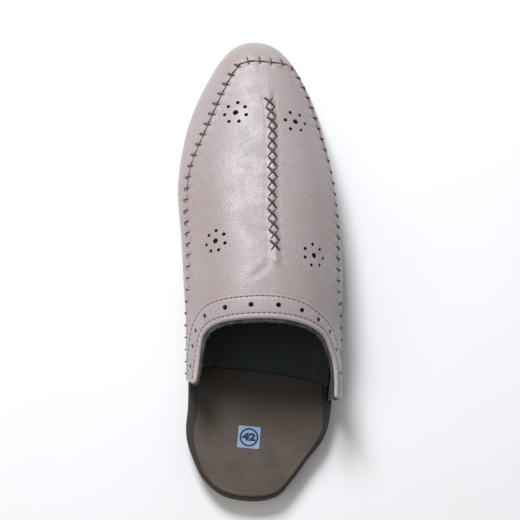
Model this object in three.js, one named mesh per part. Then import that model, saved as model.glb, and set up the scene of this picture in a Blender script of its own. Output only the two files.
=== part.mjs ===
// Babouche slipper for the right foot: a hollow leather upper on a low flat sole, open behind the foot.
// Millimetres. +Y to the toe, +X to the outer side of the foot, +Z up, the sole's flats on z = 0.
import * as THREE from "three";

const LENGTH = 290; // heel end to toe tip
const WALL = 2.6; // leather and lining of the upper
const GAP = 0.3; // clearance between pieces that meet
const SOLE_HEEL = 9; // sole thickness under the heel
const SOLE_TOE = 5; // sole thickness under the ball and the toes
const WEDGE_START = 50; // the sole thins from here, measured from the heel end
const WEDGE_LENGTH = 100;
const HEEL_FLAT_END = 66; // the heel rests on the ground up to here
const ARCH_TOP = 114;
const BALL_FLAT_START = 165;
const BALL_FLAT_END = 225;
const ARCH_RISE = 2.5;
const TOE_SPRING = 8;
const SOLE_CHAMFER = 1.4; // at the ground edge
const SOCK = 3; // insole thickness
const SOCK_CLEARANCE = 0.9; // insole to the inside of the wall
const SHOULDER_GAP = 0.9; // insole shoulder to the end of the wall
const BULGE = 1.5; // how far the side wall leans out over the sole
const BULGE_HEIGHT = 30;
const SPLAY = 3.8; // how far the end of the lateral wall leans out
const SPLAY_START = 110;
const SPLAY_LENGTH = 45;
const SPLAY_HEIGHT = 25;
const FOOT_BLEND = 6; // over this height the wall comes down square on the sole
const BAND_GAP = 0.35;
const BAND_THICKNESS = 1.1;

// One row per section, toe tip to heel end. along: from the heel end. medial, lateral: outline from the
// toe-to-heel line. spine: where the crest runs. rise: crest over the sole. powers: how square a side is.
const SECTIONS = [
  { along: 290, medial: 0, lateral: 0, spine: 0, rise: 0, medialPower: 2.1, lateralPower: 2.5 },
  { along: 286.5, medial: 11.8, lateral: 11.8, spine: 1, rise: 9, medialPower: 2.1, lateralPower: 2.5 },
  { along: 279, medial: 19.8, lateral: 20, spine: 2, rise: 17, medialPower: 2, lateralPower: 2.6 },
  { along: 267, medial: 27.6, lateral: 27.9, spine: 3.5, rise: 23.5, medialPower: 1.95, lateralPower: 2.7 },
  { along: 248, medial: 36.4, lateral: 36.9, spine: 5, rise: 30.5, medialPower: 1.95, lateralPower: 2.6 },
  { along: 225, medial: 43.4, lateral: 43.8, spine: 6.5, rise: 36.5, medialPower: 2, lateralPower: 2.6 },
  { along: 195, medial: 46.8, lateral: 48.8, spine: 7.5, rise: 42, medialPower: 2.3, lateralPower: 2.8 },
  { along: 160, medial: 44.2, lateral: 53, spine: 8, rise: 47.5, medialPower: 2.5, lateralPower: 2.6 },
  { along: 130, medial: 42.2, lateral: 53.8, spine: 8.5, rise: 50.5, medialPower: 2.5, lateralPower: 2.4 },
  { along: 95, medial: 39.8, lateral: 50.8, spine: 8.5, rise: 52.5, medialPower: 2.5, lateralPower: 2.4 },
  { along: 60, medial: 39.2, lateral: 47.6, spine: 8, rise: 54, medialPower: 2.5, lateralPower: 2.5 },
  { along: 40, medial: 40.2, lateral: 43.6, spine: 6, rise: 55, medialPower: 2.5, lateralPower: 2.5 },
  { along: 24, medial: 35.4, lateral: 32, spine: 3, rise: 55, medialPower: 2.5, lateralPower: 2.5 },
  { along: 12, medial: 28.8, lateral: 23.2, spine: 0, rise: 55, medialPower: 2.5, lateralPower: 2.5 },
  { along: 3, medial: 17.4, lateral: 14.4, spine: 0, rise: 55, medialPower: 2.5, lateralPower: 2.5 },
  { along: 0, medial: 0, lateral: 0, spine: 0, rise: 55, medialPower: 2.5, lateralPower: 2.5 },
];

// The edge of the mouth. turn: 0 at the sole, 1 at the crest, on both sides; medial, lateral: along.
const MOUTH = [
  { turn: 0, medial: 70, lateral: 60 },
  { turn: 0.1, medial: 69.2, lateral: 59.2 },
  { turn: 0.2, medial: 66.8, lateral: 57.8 },
  { turn: 0.285, medial: 65, lateral: 56.8 },
  { turn: 0.325, medial: 73, lateral: 66 },
  { turn: 0.365, medial: 83, lateral: 75.5 },
  { turn: 0.42, medial: 91.2, lateral: 82.5 },
  { turn: 0.52, medial: 95.8, lateral: 90.8 },
  { turn: 0.66, medial: 98, lateral: 95.2 },
  { turn: 0.82, medial: 98.8, lateral: 97.8 },
  { turn: 1, medial: 99.2, lateral: 99.2 },
];
const MOUTH_CORNER = 3; // the row where the end of the wall turns into the mouth

// The front edge of the band, a row for each mouth row from the corner to the crest.
const BAND_EDGE = [
  { medialTurn: 0.165, medial: 68, lateralTurn: 0.165, lateral: 58.8 },
  { medialTurn: 0.172, medial: 76, lateralTurn: 0.17, lateral: 66 },
  { medialTurn: 0.197, medial: 87.5, lateralTurn: 0.199, lateral: 75.5 },
  { medialTurn: 0.274, medial: 100, lateralTurn: 0.256, lateral: 85 },
  { medialTurn: 0.452, medial: 108.8, lateralTurn: 0.365, lateral: 96 },
  { medialTurn: 0.643, medial: 111.9, lateralTurn: 0.549, lateral: 103.6 },
  { medialTurn: 0.817, medial: 112.8, lateralTurn: 0.774, lateral: 110.2 },
  { medialTurn: 1, medial: 113.2, lateralTurn: 1, lateral: 113.2 },
];

const smooth = (x) => THREE.MathUtils.smoothstep(x, 0, 1);

// A smooth curve through the rows of numbers at row position t.
function through(rows, t) {
  const i = THREE.MathUtils.clamp(Math.floor(t), 0, rows.length - 2);
  const f = t - i;
  const first = rows[0].map((v, k) => 2 * v - rows[1][k]);
  const last = rows[rows.length - 1].map((v, k) => 2 * v - rows[rows.length - 2][k]);
  const a = i > 0 ? rows[i - 1] : first;
  const b = rows[i];
  const c = rows[i + 1];
  const d = i + 2 < rows.length ? rows[i + 2] : last;
  return b.map((v, k) => {
    const linear = (c[k] - a[k]) * f;
    const square = (2 * a[k] - 5 * v + 4 * c[k] - d[k]) * f * f;
    const cube = (3 * v - a[k] - 3 * c[k] + d[k]) * f * f * f;
    return v + 0.5 * (linear + square + cube);
  });
}

// The outline is one round line, so beyond each tip the sides carry on across the middle.
const KEYS = ["along", "medial", "lateral", "spine", "rise", "medialPower", "lateralPower"];
const asRow = (s) => KEYS.map((key) => s[key]);
const across = (s, rise) => asRow({ ...s, medial: -s.lateral, lateral: -s.medial, rise });
const TOE_NEXT = SECTIONS[1];
const HEEL_NEXT = SECTIONS[SECTIONS.length - 2];
const OUTLINE = [
  across(TOE_NEXT, -TOE_NEXT.rise),
  ...SECTIONS.map(asRow),
  across(HEEL_NEXT, HEEL_NEXT.rise),
];
const LAST_ROW = SECTIONS.length - 1;

function section(t) {
  const v = through(OUTLINE, THREE.MathUtils.clamp(t, 0, LAST_ROW) + 1);
  return Object.fromEntries(KEYS.map((key, k) => [key, v[k]]));
}

// The row position of the section at a distance from the heel end.
function rowAt(along) {
  let low = 0;
  let high = LAST_ROW;
  for (let n = 0; n < 40; n++) {
    const middle = (low + high) / 2;
    if (section(middle).along > along) low = middle;
    else high = middle;
  }
  return (low + high) / 2;
}

// Height of the ground side of the sole.
function groundSide(along) {
  if (along < HEEL_FLAT_END) return 0;
  if (along < ARCH_TOP) return ARCH_RISE * smooth((along - HEEL_FLAT_END) / (ARCH_TOP - HEEL_FLAT_END));
  if (along < BALL_FLAT_START) {
    return ARCH_RISE * smooth((BALL_FLAT_START - along) / (BALL_FLAT_START - ARCH_TOP));
  }
  if (along < BALL_FLAT_END) return 0;
  return TOE_SPRING * ((along - BALL_FLAT_END) / (LENGTH - BALL_FLAT_END)) ** 2;
}

function soleTop(along) {
  const thinning = smooth((along - WEDGE_START) / WEDGE_LENGTH);
  return groundSide(along) + SOLE_HEEL - (SOLE_HEEL - SOLE_TOE) * thinning;
}

const wallFoot = (along) => soleTop(along) + GAP;

// A point of the upper's outer form: t is the row position, turn runs 0 to 2 from the medial edge of the
// sole over the crest to the lateral edge.
function form(t, turn) {
  const s = section(t);
  const angle = (turn * Math.PI) / 2;
  const medialSide = turn < 1;
  const side = medialSide ? -1 : 1;
  const power = 2 / (medialSide ? s.medialPower : s.lateralPower);
  const half = medialSide ? s.medial + s.spine : s.lateral - s.spine;
  const flat = Math.abs(Math.cos(angle));
  const up = s.rise * Math.abs(Math.sin(angle)) ** power;
  const lean = Math.sin(Math.PI * Math.min(up / BULGE_HEIGHT, 1)) * Math.min(1, 3 * flat);
  const toEnd = smooth((SPLAY_START - s.along) / SPLAY_LENGTH);
  const splay = medialSide ? 0 : SPLAY * toEnd * smooth(up / SPLAY_HEIGHT) * smooth(1.6 * flat);
  const out = half * flat ** power + BULGE * Math.min(1, s.rise / 20) * lean + splay;
  return new THREE.Vector3(s.spine + side * out, s.along, wallFoot(s.along) + up);
}

// The form's outward direction. It lies level at the foot of the wall, so the wall stands square there.
function outward(t, turn) {
  if (t < 0.01) return new THREE.Vector3(0, 1, 0);
  const step = 0.01;
  const back = form(Math.max(t - step, 0), turn);
  const ahead = form(t + step, turn);
  const low = form(t, Math.max(turn - step, 0));
  const high = form(t, Math.min(turn + step, 2));
  const n = new THREE.Vector3().crossVectors(ahead.sub(back), high.sub(low)).normalize();
  const height = form(t, turn).z - wallFoot(section(t).along);
  n.z *= smooth(height / FOOT_BLEND);
  return n.normalize();
}

// The same form, larger (lift above 0) or smaller (below 0).
function lifted(t, turn, lift) {
  const p = form(t, turn);
  const foot = wallFoot(p.y);
  const height = p.z - foot;
  p.addScaledVector(outward(t, turn), lift);
  p.z += (wallFoot(p.y) - foot) * (1 - smooth(height / FOOT_BLEND));
  return p;
}

// Collects quads and triangles over shared points, and leaves out faces that have shrunk to a line.
class Skin {
  constructor() {
    this.points = [];
    this.known = new Map();
    this.faces = [];
  }

  point(p) {
    const key = [p.x, p.y, p.z].map((v) => Math.round(v * 500)).join();
    if (!this.known.has(key)) {
      this.known.set(key, this.points.length / 3);
      this.points.push(p.x, p.y, p.z);
    }
    return this.known.get(key);
  }

  triangle(a, b, c) {
    if (a !== b && b !== c && c !== a) this.faces.push(a, b, c);
  }

  // Rows of points joined into a sheet that faces along (row direction) x (next row).
  sheet(rows) {
    const ids = rows.map((row) => row.map((p) => this.point(p)));
    for (let i = 0; i + 1 < ids.length; i++) {
      for (let j = 0; j + 1 < ids[i].length; j++) {
        this.triangle(ids[i][j], ids[i][j + 1], ids[i + 1][j + 1]);
        this.triangle(ids[i][j], ids[i + 1][j + 1], ids[i + 1][j]);
      }
    }
  }

  mesh(name, finish) {
    const geometry = new THREE.BufferGeometry();
    geometry.setAttribute("position", new THREE.Float32BufferAttribute(this.points, 3));
    geometry.setIndex(this.faces);
    geometry.computeVertexNormals();
    const mesh = new THREE.Mesh(geometry, finish);
    mesh.name = name;
    return mesh;
  }
}

const mix = (a, b, f) => a + (b - a) * f;
const steps = (count, from, to) => {
  return Array.from({ length: count + 1 }, (_, i) => mix(from, to, i / count));
};

// A closed shell between an outer and an inner sheet with the same rows.
function shell(outer, inner) {
  const skin = new Skin();
  const last = outer.length - 1;
  const end = outer[0].length - 1;
  skin.sheet(outer);
  skin.sheet(inner.map((row) => [...row].reverse()));
  skin.sheet([inner[0], outer[0]]);
  skin.sheet([outer[last], inner[last]]);
  skin.sheet(outer.map((row, i) => [inner[i][0], row[0]]));
  skin.sheet(outer.map((row, i) => [row[end], inner[i][end]]));
  return skin;
}

// The whole mouth from the medial foot over the crest to the lateral foot: [turn, along].
const MOUTH_LINE = [
  ...MOUTH.map((r) => [r.turn, r.medial]),
  ...MOUTH.slice(0, -1).reverse().map((r) => [2 - r.turn, r.lateral]),
];
const BAND_LINE = [
  ...BAND_EDGE.map((r) => [r.medialTurn, r.medial]),
  ...BAND_EDGE.slice(0, -1).reverse().map((r) => [2 - r.lateralTurn, r.lateral]),
];

function buildUpper(finish) {
  const lines = steps(2 * (MOUTH_LINE.length - 1), 0, MOUTH_LINE.length - 1).map((j) => {
    const [turn, along] = through(MOUTH_LINE, j);
    return { turn, mouthRow: rowAt(along) };
  });
  const grid = (lift) => steps(34, 1, 0).map((u) => {
    return lines.map((line) => lifted(line.mouthRow * u ** 0.9, line.turn, lift));
  });
  return shell(grid(0), grid(-WALL)).mesh("upper", finish);
}

function buildBand(finish) {
  const count = BAND_LINE.length - 1;
  const grid = (lift) => steps(4, 1, 0).map((f) => {
    return steps(3 * count, 0, count).map((j) => {
      const [frontTurn, frontAlong] = through(BAND_LINE, j);
      const [mouthTurn, mouthAlong] = through(MOUTH_LINE, j + MOUTH_CORNER);
      return lifted(rowAt(mix(frontAlong, mouthAlong, f)), mix(frontTurn, mouthTurn, f), lift);
    });
  });
  return shell(grid(BAND_GAP + BAND_THICKNESS), grid(BAND_GAP)).mesh("collar_band", finish);
}

// A point of the outline on one side (-1 medial, 1 lateral), moved inwards.
function outlinePoint(t, side, inset) {
  const at = (row) => {
    const s = section(row);
    return new THREE.Vector2(side < 0 ? -s.medial : s.lateral, s.along);
  };
  const here = at(t);
  if (inset === 0) return here;
  if (t < 0.01) return new THREE.Vector2(0, LENGTH - inset);
  const run = at(t + 0.01).sub(at(t - 0.01 > 0 ? t - 0.01 : 0)).normalize();
  return here.add(new THREE.Vector2(run.y, -run.x).multiplyScalar(side * inset));
}

// A slab with the sole's outline: each section is a ring of points on a line across the foot.
function slab(rows, corners) {
  const skin = new Skin();
  const rings = rows.map((t) => corners(t));
  skin.sheet(rings.map((ring) => [...ring, ring[0]]));
  return skin;
}

function buildOutsole(finish) {
  const corners = (t) => {
    const left = outlinePoint(t, -1, 0);
    const right = outlinePoint(t, 1, 0);
    const y = left.y;
    const low = groundSide(y);
    const chamfer = Math.min(SOLE_CHAMFER, (right.x - left.x) / 4);
    const at = (x, z) => new THREE.Vector3(x, y, z);
    const bottom = steps(4, left.x + chamfer, right.x - chamfer).map((x) => at(x, low));
    const top = steps(4, right.x, left.x).map((x) => at(x, soleTop(y)));
    return [...bottom, at(right.x, low + SOLE_CHAMFER), ...top, at(left.x, low + SOLE_CHAMFER)];
  };
  return slab(steps(4 * LAST_ROW, 0, LAST_ROW), corners).mesh("outsole", finish);
}

function buildInsole(finish) {
  const shoulders = { "-1": MOUTH[0].medial - SHOULDER_GAP, 1: MOUTH[0].lateral - SHOULDER_GAP };
  const inside = WALL + SOCK_CLEARANCE;
  const inset = (t, side) => (section(t).along > shoulders[side] ? inside : 0);
  const corners = (t) => {
    const left = outlinePoint(t, -1, inset(t, -1));
    const right = outlinePoint(t, 1, inset(t, 1));
    const at = (f, lift) => {
      const y = mix(left.y, right.y, f);
      return new THREE.Vector3(mix(left.x, right.x, f), y, soleTop(y) + GAP + lift);
    };
    return [...steps(4, 0, 1).map((f) => at(f, 0)), ...steps(4, 1, 0).map((f) => at(f, SOCK))];
  };
  const rows = steps(4 * LAST_ROW, 0, LAST_ROW);
  Object.values(shoulders).forEach((along) => rows.push(rowAt(along + 0.02), rowAt(along - 0.02)));
  rows.sort((a, b) => a - b);
  return slab(rows, corners).mesh("insole", finish);
}

const material = (color, roughness) => new THREE.MeshStandardMaterial({ color, roughness, metalness: 0 });
const leather = material(0xc9b4ad, 0.45);
const band = material(0xc2aea8, 0.45);
const sock = material(0x6e5f50, 0.7);
const rubber = material(0x3a332d, 0.8);

const slipper = new THREE.Group();
slipper.name = "babouche_slipper_right";
slipper.add(buildOutsole(rubber), buildInsole(sock), buildUpper(leather), buildBand(band));

// The origin goes under the middle of the slipper's box.
const box = new THREE.Box3().setFromObject(slipper);
const middle = box.getCenter(new THREE.Vector3());
slipper.children.forEach((mesh) => mesh.geometry.translate(-middle.x, -middle.y, -box.min.z));

export default slipper;
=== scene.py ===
# %% [markdown]
# # A backless leather slipper, built from the sole up
#
# The slipper is a soft shell of leather on a thin rubber sole, open behind the foot. Its moulded
# shape comes from the wooden last that the leather was pulled over, so this file starts from the
# last and draws every seam, edge and stitch on it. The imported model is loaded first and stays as
# it is: it says where the slipper stands and how large it is.

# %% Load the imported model
import math

import bmesh
import bpy
import numpy as np
from mathutils import Matrix, Vector, kdtree


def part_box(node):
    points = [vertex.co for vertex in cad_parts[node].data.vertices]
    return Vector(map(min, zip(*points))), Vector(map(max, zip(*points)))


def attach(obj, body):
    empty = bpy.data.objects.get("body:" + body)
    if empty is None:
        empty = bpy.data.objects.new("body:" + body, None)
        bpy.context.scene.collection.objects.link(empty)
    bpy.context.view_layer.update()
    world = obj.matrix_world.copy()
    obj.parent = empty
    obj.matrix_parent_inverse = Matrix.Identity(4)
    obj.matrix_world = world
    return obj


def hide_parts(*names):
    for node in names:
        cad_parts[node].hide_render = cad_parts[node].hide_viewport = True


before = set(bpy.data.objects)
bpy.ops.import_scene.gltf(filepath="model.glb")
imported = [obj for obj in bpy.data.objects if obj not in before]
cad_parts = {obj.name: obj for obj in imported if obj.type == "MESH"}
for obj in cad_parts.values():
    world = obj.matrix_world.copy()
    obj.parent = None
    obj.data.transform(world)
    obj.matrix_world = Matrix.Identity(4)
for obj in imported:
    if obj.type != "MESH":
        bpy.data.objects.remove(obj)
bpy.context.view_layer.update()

# %% [markdown]
# ## Light, floor and camera
#
# A pale slipper reads well on a pale floor under large soft lights, because every crease then
# shows as a slow change of tone. One wide light hangs over the toe and the inner side, a
# weaker warm one fills from the heel, and the sky is a dim even grey. The camera looks down from
# behind the heel with a long lens, as a person would who is about to step in.


# %% Lights
def put(name, data):
    """A new object with this data, in the scene."""
    made = bpy.data.objects.new(name, data)
    bpy.context.scene.collection.objects.link(made)
    return made


def softbox(name, place, target, size, power, colour):
    light = bpy.data.lights.new(name, "AREA")
    light.shape = "SQUARE"
    light.size, light.energy, light.color = size, power, colour
    lamp = put(name, light)
    lamp.location = place
    lamp.rotation_euler = (Vector(target) - Vector(place)).to_track_quat("-Z", "Y").to_euler()


softbox("key_light", (-0.38, 0.98, 1.06), (0, 0.02, 0.02), 0.5, 25, (0.86, 0.91, 1.0))
softbox("fill_light", (-1.1, -0.4, 1.2), (0, 0, 0.02), 1.2, 4, (1.0, 0.94, 0.87))
bpy.context.scene.view_settings.view_transform = "Standard"
world = bpy.data.worlds.new("studio")
bpy.context.scene.world = world
world.use_nodes = True
sky = world.node_tree.nodes["Background"].inputs
sky["Color"].default_value = (0.93, 0.95, 1.0, 1)
sky["Strength"].default_value = 0.33

# %% Floor
FLOOR_REACH = 3.0  # metres from the slipper to each side
floor_mesh = bpy.data.meshes.new("floor")
corners = [(-1, -1), (1, -1), (1, 1), (-1, 1)]
corners = [(x * FLOOR_REACH, y * FLOOR_REACH, 0) for x, y in corners]
floor_mesh.from_pydata(corners, [], [(0, 1, 2, 3)])
floor = put("floor", floor_mesh)

# %% Camera
EYE = Vector((-0.041, -0.301, 1.098))
AIM = Vector((0.0, 0.0, 0.02))
camera = put("camera", bpy.data.cameras.new("camera"))
view = (AIM - EYE).normalized()
right = view.cross(Vector((0, 1, 0))).normalized()
camera.matrix_world = Matrix((right, right.cross(view), -view)).transposed().to_4x4()
camera.location = EYE
camera.data.lens = 127
camera.data.sensor_width = 36
bpy.context.scene.camera = camera
print("camera distance", round((AIM - EYE).length, 3), "m")

# %% [markdown]
# ## The last
#
# A shoe last has no straight line on it, so it is written down as sections: how far each side
# stands out from the toe-to-heel line, where the crest runs and how high it is. A smooth curve
# carries every number from section to section. A place on the last is then two numbers, the
# distance from the heel end and the turn from the inner edge of the sole (0) over the crest (1)
# to the outer edge (2), and a lift says how far above or below the surface something lies.

# %% Sections of the last, in millimetres
# along, inner side, outer side, spine, rise, squareness inside, squareness outside
SECTIONS = np.array([
    (290, 0, 0, 0, 0, 2.1, 2.5),
    (286.5, 11.8, 11.8, 1, 9, 2.1, 2.5),
    (279, 19.8, 20, 2, 17, 2, 2.6),
    (267, 27.6, 27.9, 3.5, 23.5, 1.95, 2.7),
    (248, 36.4, 36.9, 5, 30.5, 1.95, 2.6),
    (225, 43.4, 43.8, 6.5, 36.5, 2, 2.6),
    (195, 46.8, 48.8, 7.5, 42, 2.3, 2.8),
    (160, 44.2, 53, 8, 47.5, 2.5, 2.6),
    (130, 42.2, 53.8, 8.5, 50.5, 2.5, 2.4),
    (95, 39.8, 50.8, 8.5, 52.5, 2.5, 2.4),
    (60, 39.2, 47.6, 8, 54, 2.5, 2.5),
    (40, 40.2, 43.6, 6, 55, 2.5, 2.5),
    (24, 35.4, 32, 3, 55, 2.5, 2.5),
    (12, 28.8, 23.2, 0, 55, 2.5, 2.5),
    (3, 17.4, 14.4, 0, 55, 2.5, 2.5),
    (0, 0, 0, 0, 55, 2.5, 2.5),
], float)
LENGTH = 290
LAST_ROW = len(SECTIONS) - 1


def smooth(x):
    """From 0 to 1 with level ends."""
    x = np.clip(x, 0, 1)
    return x * x * (3 - 2 * x)


def bell(x, width):
    """1 at 0, fading to both sides."""
    return np.exp(-((x / width) ** 2))


def unit(vectors):
    """The vectors at length 1."""
    return vectors / np.maximum(np.linalg.norm(vectors, axis=-1, keepdims=True), 1e-9)


def through(rows, t):
    """A smooth curve through rows of numbers, at row position t."""
    rows = np.asarray(rows, float)
    padded = np.vstack([2 * rows[0] - rows[1], rows, 2 * rows[-1] - rows[-2]])
    t = np.asarray(t, float)
    i = np.clip(np.floor(t).astype(int), 0, len(rows) - 2)
    f = (t - i)[..., None]
    a, b, c, d = (padded[i + k] for k in range(4))
    curve = (c - a) * f + (2 * a - 5 * b + 4 * c - d) * f**2 + (3 * b - a - 3 * c + d) * f**3
    return b + 0.5 * curve


def across(row, rise):
    """The row mirrored to the other side, so the outline runs round each tip as one curve."""
    return (row[0], -row[2], -row[1], row[3], rise, row[5], row[6])


TOE_NEXT, HEEL_NEXT = SECTIONS[1], SECTIONS[-2]
OUTLINE = np.vstack([across(TOE_NEXT, -TOE_NEXT[4]), SECTIONS, across(HEEL_NEXT, HEEL_NEXT[4])])


def section(t):
    return np.moveaxis(through(OUTLINE, np.clip(t, 0, LAST_ROW) + 1), -1, 0)


FINE_ROWS = np.linspace(0, LAST_ROW, 6001)
FINE_ALONG = section(FINE_ROWS)[0]


def row_at(along):
    return np.interp(along, FINE_ALONG[::-1], FINE_ROWS[::-1])


print("widest place", round(float((section(FINE_ROWS)[1] + section(FINE_ROWS)[2]).max()), 1), "mm")

# %% The sole's two sides
SOLE_HEEL, SOLE_TOE = 9, 5  # thickness
WEDGE_START, WEDGE_LENGTH = 50, 100  # where the sole thins from the one to the other
ARCH_HEIGHT, ARCH_BACK, ARCH_MIDDLE, ARCH_FRONT = 2.5, 66, 114, 165
SPRING, SPRING_START = 8, 225  # how high the toe is lifted, and from where
GAP = 0.3  # where one layer rests on the next
SOCK_TOP = 3  # insole thickness


def ground_side(along):
    """Height of the underside: flat heel, low arch, flat ball, toe lifted off the ground."""
    rising = (along - ARCH_BACK) / (ARCH_MIDDLE - ARCH_BACK)
    falling = (ARCH_FRONT - along) / (ARCH_FRONT - ARCH_MIDDLE)
    arch = np.where(along < ARCH_MIDDLE, rising, falling)
    toe = SPRING * (np.clip(along - SPRING_START, 0, None) / (LENGTH - SPRING_START)) ** 2
    return ARCH_HEIGHT * smooth(arch) + toe


def sole_top(along):
    wedge = (SOLE_HEEL - SOLE_TOE) * smooth((along - WEDGE_START) / WEDGE_LENGTH)
    return ground_side(along) + SOLE_HEEL - wedge


def wall_foot(along):
    return sole_top(along) + GAP


print("sole top at heel and ball:", sole_top(np.array([20, 200])))


# %% A place on the last, and its outward direction
BULGE, BULGE_HEIGHT = 1.5, 30  # both sides swell low down
SPLAY, SPLAY_START, SPLAY_LENGTH, SPLAY_HEIGHT = 3.8, 110, 45, 25  # the outer side spreads behind
UPRIGHT = 6  # up to this height the walls stand straight on the sole


def form(t, turn):
    t, turn = np.broadcast_arrays(np.asarray(t, float), np.asarray(turn, float))
    along, inner, outer, spine, rise, inner_power, outer_power = section(t)
    angle = turn * np.pi / 2
    inside = turn < 1
    power = 2 / np.where(inside, inner_power, outer_power)
    half = np.where(inside, inner + spine, outer - spine)
    flat = np.abs(np.cos(angle))
    up = rise * np.abs(np.sin(angle)) ** power
    lean = np.sin(np.pi * np.minimum(up / BULGE_HEIGHT, 1)) * np.minimum(1, 3 * flat)
    bulge = BULGE * np.minimum(1, rise / 20) * lean
    behind = smooth((SPLAY_START - along) / SPLAY_LENGTH)
    splay = SPLAY * behind * smooth(up / SPLAY_HEIGHT) * smooth(1.6 * flat)
    out = half * flat**power + bulge + np.where(inside, 0, splay)
    return np.stack([spine + np.where(inside, -1, 1) * out, along, wall_foot(along) + up], -1)


def outward(t, turn):
    t, turn = np.broadcast_arrays(np.asarray(t, float), np.asarray(turn, float))
    step = 0.01
    ahead = form(t + step, turn) - form(np.maximum(t - step, 0), turn)
    over = form(t, np.minimum(turn + step, 2)) - form(t, np.maximum(turn - step, 0))
    n = unit(np.cross(ahead, over))
    p = form(t, turn)
    n[..., 2] *= smooth((p[..., 2] - wall_foot(p[..., 1])) / UPRIGHT)
    n[t < step] = (0, 1, 0)
    return unit(n)


def lifted(t, turn, lift):
    """The same place on a larger (lift above 0) or smaller last, still standing on the sole."""
    p = form(t, turn)
    foot = wall_foot(p[..., 1])
    low = 1 - smooth((p[..., 2] - foot) / UPRIGHT)
    p = p + outward(t, turn) * np.asarray(lift, float)[..., None]
    p[..., 2] += (wall_foot(p[..., 1]) - foot) * low
    return p


print("crest at the ball:", np.round(form(row_at(200), 1.0), 1))

# %% [markdown]
# ## Lines drawn on the last
#
# A shoemaker marks the mouth, the seams and the stitch holes on the taped last before cutting
# anything. The same lines are kept here as short tables of distance and turn. Each line can be
# read by the length along it, so stitches keep an even pitch round every bend, and it can be
# moved sideways by a few millimetres to give the row of holes next to an edge.

# %% Mouth, band and seam tables
# turn, distance from the heel end on the inner side, and on the outer side
MOUTH = [
    (0, 70, 60), (0.1, 69.2, 59.2), (0.2, 66.8, 57.8), (0.285, 65, 56.8), (0.325, 73, 66),
    (0.365, 83, 75.5), (0.42, 91.2, 82.5), (0.52, 95.8, 90.8), (0.66, 98, 95.2), (0.82, 98.8, 97.8),
    (1, 99.2, 99.2),
]
MOUTH_CORNER = 3  # the row where the end of the side wall turns into the mouth
# the front edge of the band: turn and distance inside, turn and distance outside
BAND_EDGE = [
    (0.165, 68, 0.165, 58.8), (0.172, 76, 0.17, 66), (0.197, 87.5, 0.199, 75.5),
    (0.274, 100, 0.256, 85), (0.452, 108.8, 0.365, 96), (0.643, 111.9, 0.549, 103.6),
    (0.817, 112.8, 0.774, 110.2), (1, 113.2, 1, 113.2),
]
mouth_rows = [(a, t) for t, a, b in MOUTH] + [(b, 2 - t) for t, a, b in MOUTH[-2::-1]]
band_rows = [(a, t) for t, a, u, b in BAND_EDGE] + [(b, 2 - u) for t, a, u, b in BAND_EDGE[-2::-1]]
# the seams that join the vamp to the side wall: distance, turn
INNER_SEAM = [
    (69.2, 0.1), (86, 0.1), (102, 0.135), (117, 0.204), (131, 0.262), (148, 0.297), (170, 0.298),
    (186, 0.337), (202, 0.388), (217, 0.459), (233, 0.528), (247, 0.588), (261, 0.666),
    (268.5, 0.745),
]
TOE_SEAM = [
    (268.5, 0.745), (270.2, 0.86), (270.3, 0.98), (269.4, 1.12), (269.2, 1.28), (268.6, 1.42),
    (266, 1.53),
]
OUTER_SEAM = [
    (266, 1.53), (252, 1.555), (236, 1.59), (218, 1.65), (201, 1.74), (182, 1.743), (163, 1.725),
    (144, 1.69), (126, 1.705), (108, 1.8), (92, 1.865), (75, 1.9), (59.36, 1.92),
]
LACING = [(246, 1.03), (224, 1.034), (209, 1.021), (170, 1.01), (155, 1.017), (134, 1.026)]


# %% A line that is read by its length
def place(rows, lift=0.0):
    """Points in mm for rows of (distance, turn)."""
    rows = np.asarray(rows, float)
    return lifted(row_at(rows[..., 0]), rows[..., 1], np.broadcast_to(lift, rows.shape[:-1]))


def length_to(points):
    """The length of a path up to each of its points."""
    return np.concatenate([[0], np.cumsum(np.linalg.norm(np.diff(points, axis=0), axis=1))])


def read(distance, lengths, values):
    """Rows of values read at distances along a path."""
    columns = [np.interp(distance, lengths, values[:, k]) for k in range(values.shape[1])]
    return np.stack(columns, -1)


class Line:
    def __init__(self, rows, start=0.0, end=None):
        end = len(rows) - 1 if end is None else end
        self.rows = through(rows, np.linspace(start, end, 1500))
        self.measure()

    def measure(self):
        self.distance = length_to(place(self.rows))
        self.length = self.distance[-1]

    def at(self, distance):
        return read(distance, self.distance, self.rows)

    def joined(self, other):
        line = object.__new__(Line)
        line.rows = np.vstack([self.rows, other.rows[1:]])
        line.measure()
        return line


inner_seam, toe_seam, outer_seam = Line(INNER_SEAM), Line(TOE_SEAM), Line(OUTER_SEAM)
seam = inner_seam.joined(toe_seam).joined(outer_seam)
mouth = Line(mouth_rows, 1, 19.2)
lacing = Line(LACING)
for name, line in (("seam", seam), ("mouth", mouth), ("lacing", lacing)):
    print(name, "runs", round(line.length), "mm")


# %% Moving a line sideways over the surface
STEP_ALONG, STEP_TURN = 0.2, 0.002  # small steps that measure the surface


def frame_on(rows, ahead):
    """Directions at places on the last: ahead made level with it, its left, and outward."""
    up = outward(row_at(rows[..., 0]), rows[..., 1])
    ahead = unit(ahead - (ahead * up).sum(-1, keepdims=True) * up)
    return ahead, np.cross(up, ahead), up


def moved(rows, direction, distance, steps=4):
    """Rows moved over the surface in a direction given in space, by a distance in mm."""
    rows = np.array(rows, float)
    for _ in range(steps):
        here = place(rows)
        by_along = (place(rows + (STEP_ALONG, 0)) - here) / STEP_ALONG
        by_turn = (place(rows + (0, STEP_TURN)) - here) / STEP_TURN
        a, b = (by_along**2).sum(-1), (by_along * by_turn).sum(-1)
        c, p = (by_turn**2).sum(-1), (direction * by_along).sum(-1)
        q = (direction * by_turn).sum(-1)
        share = np.broadcast_to(distance, p.shape) / steps / (a * c - b * b)
        rows[..., 0] += share * (c * p - b * q)
        rows[..., 1] += share * (a * q - b * p)
    return rows


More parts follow.
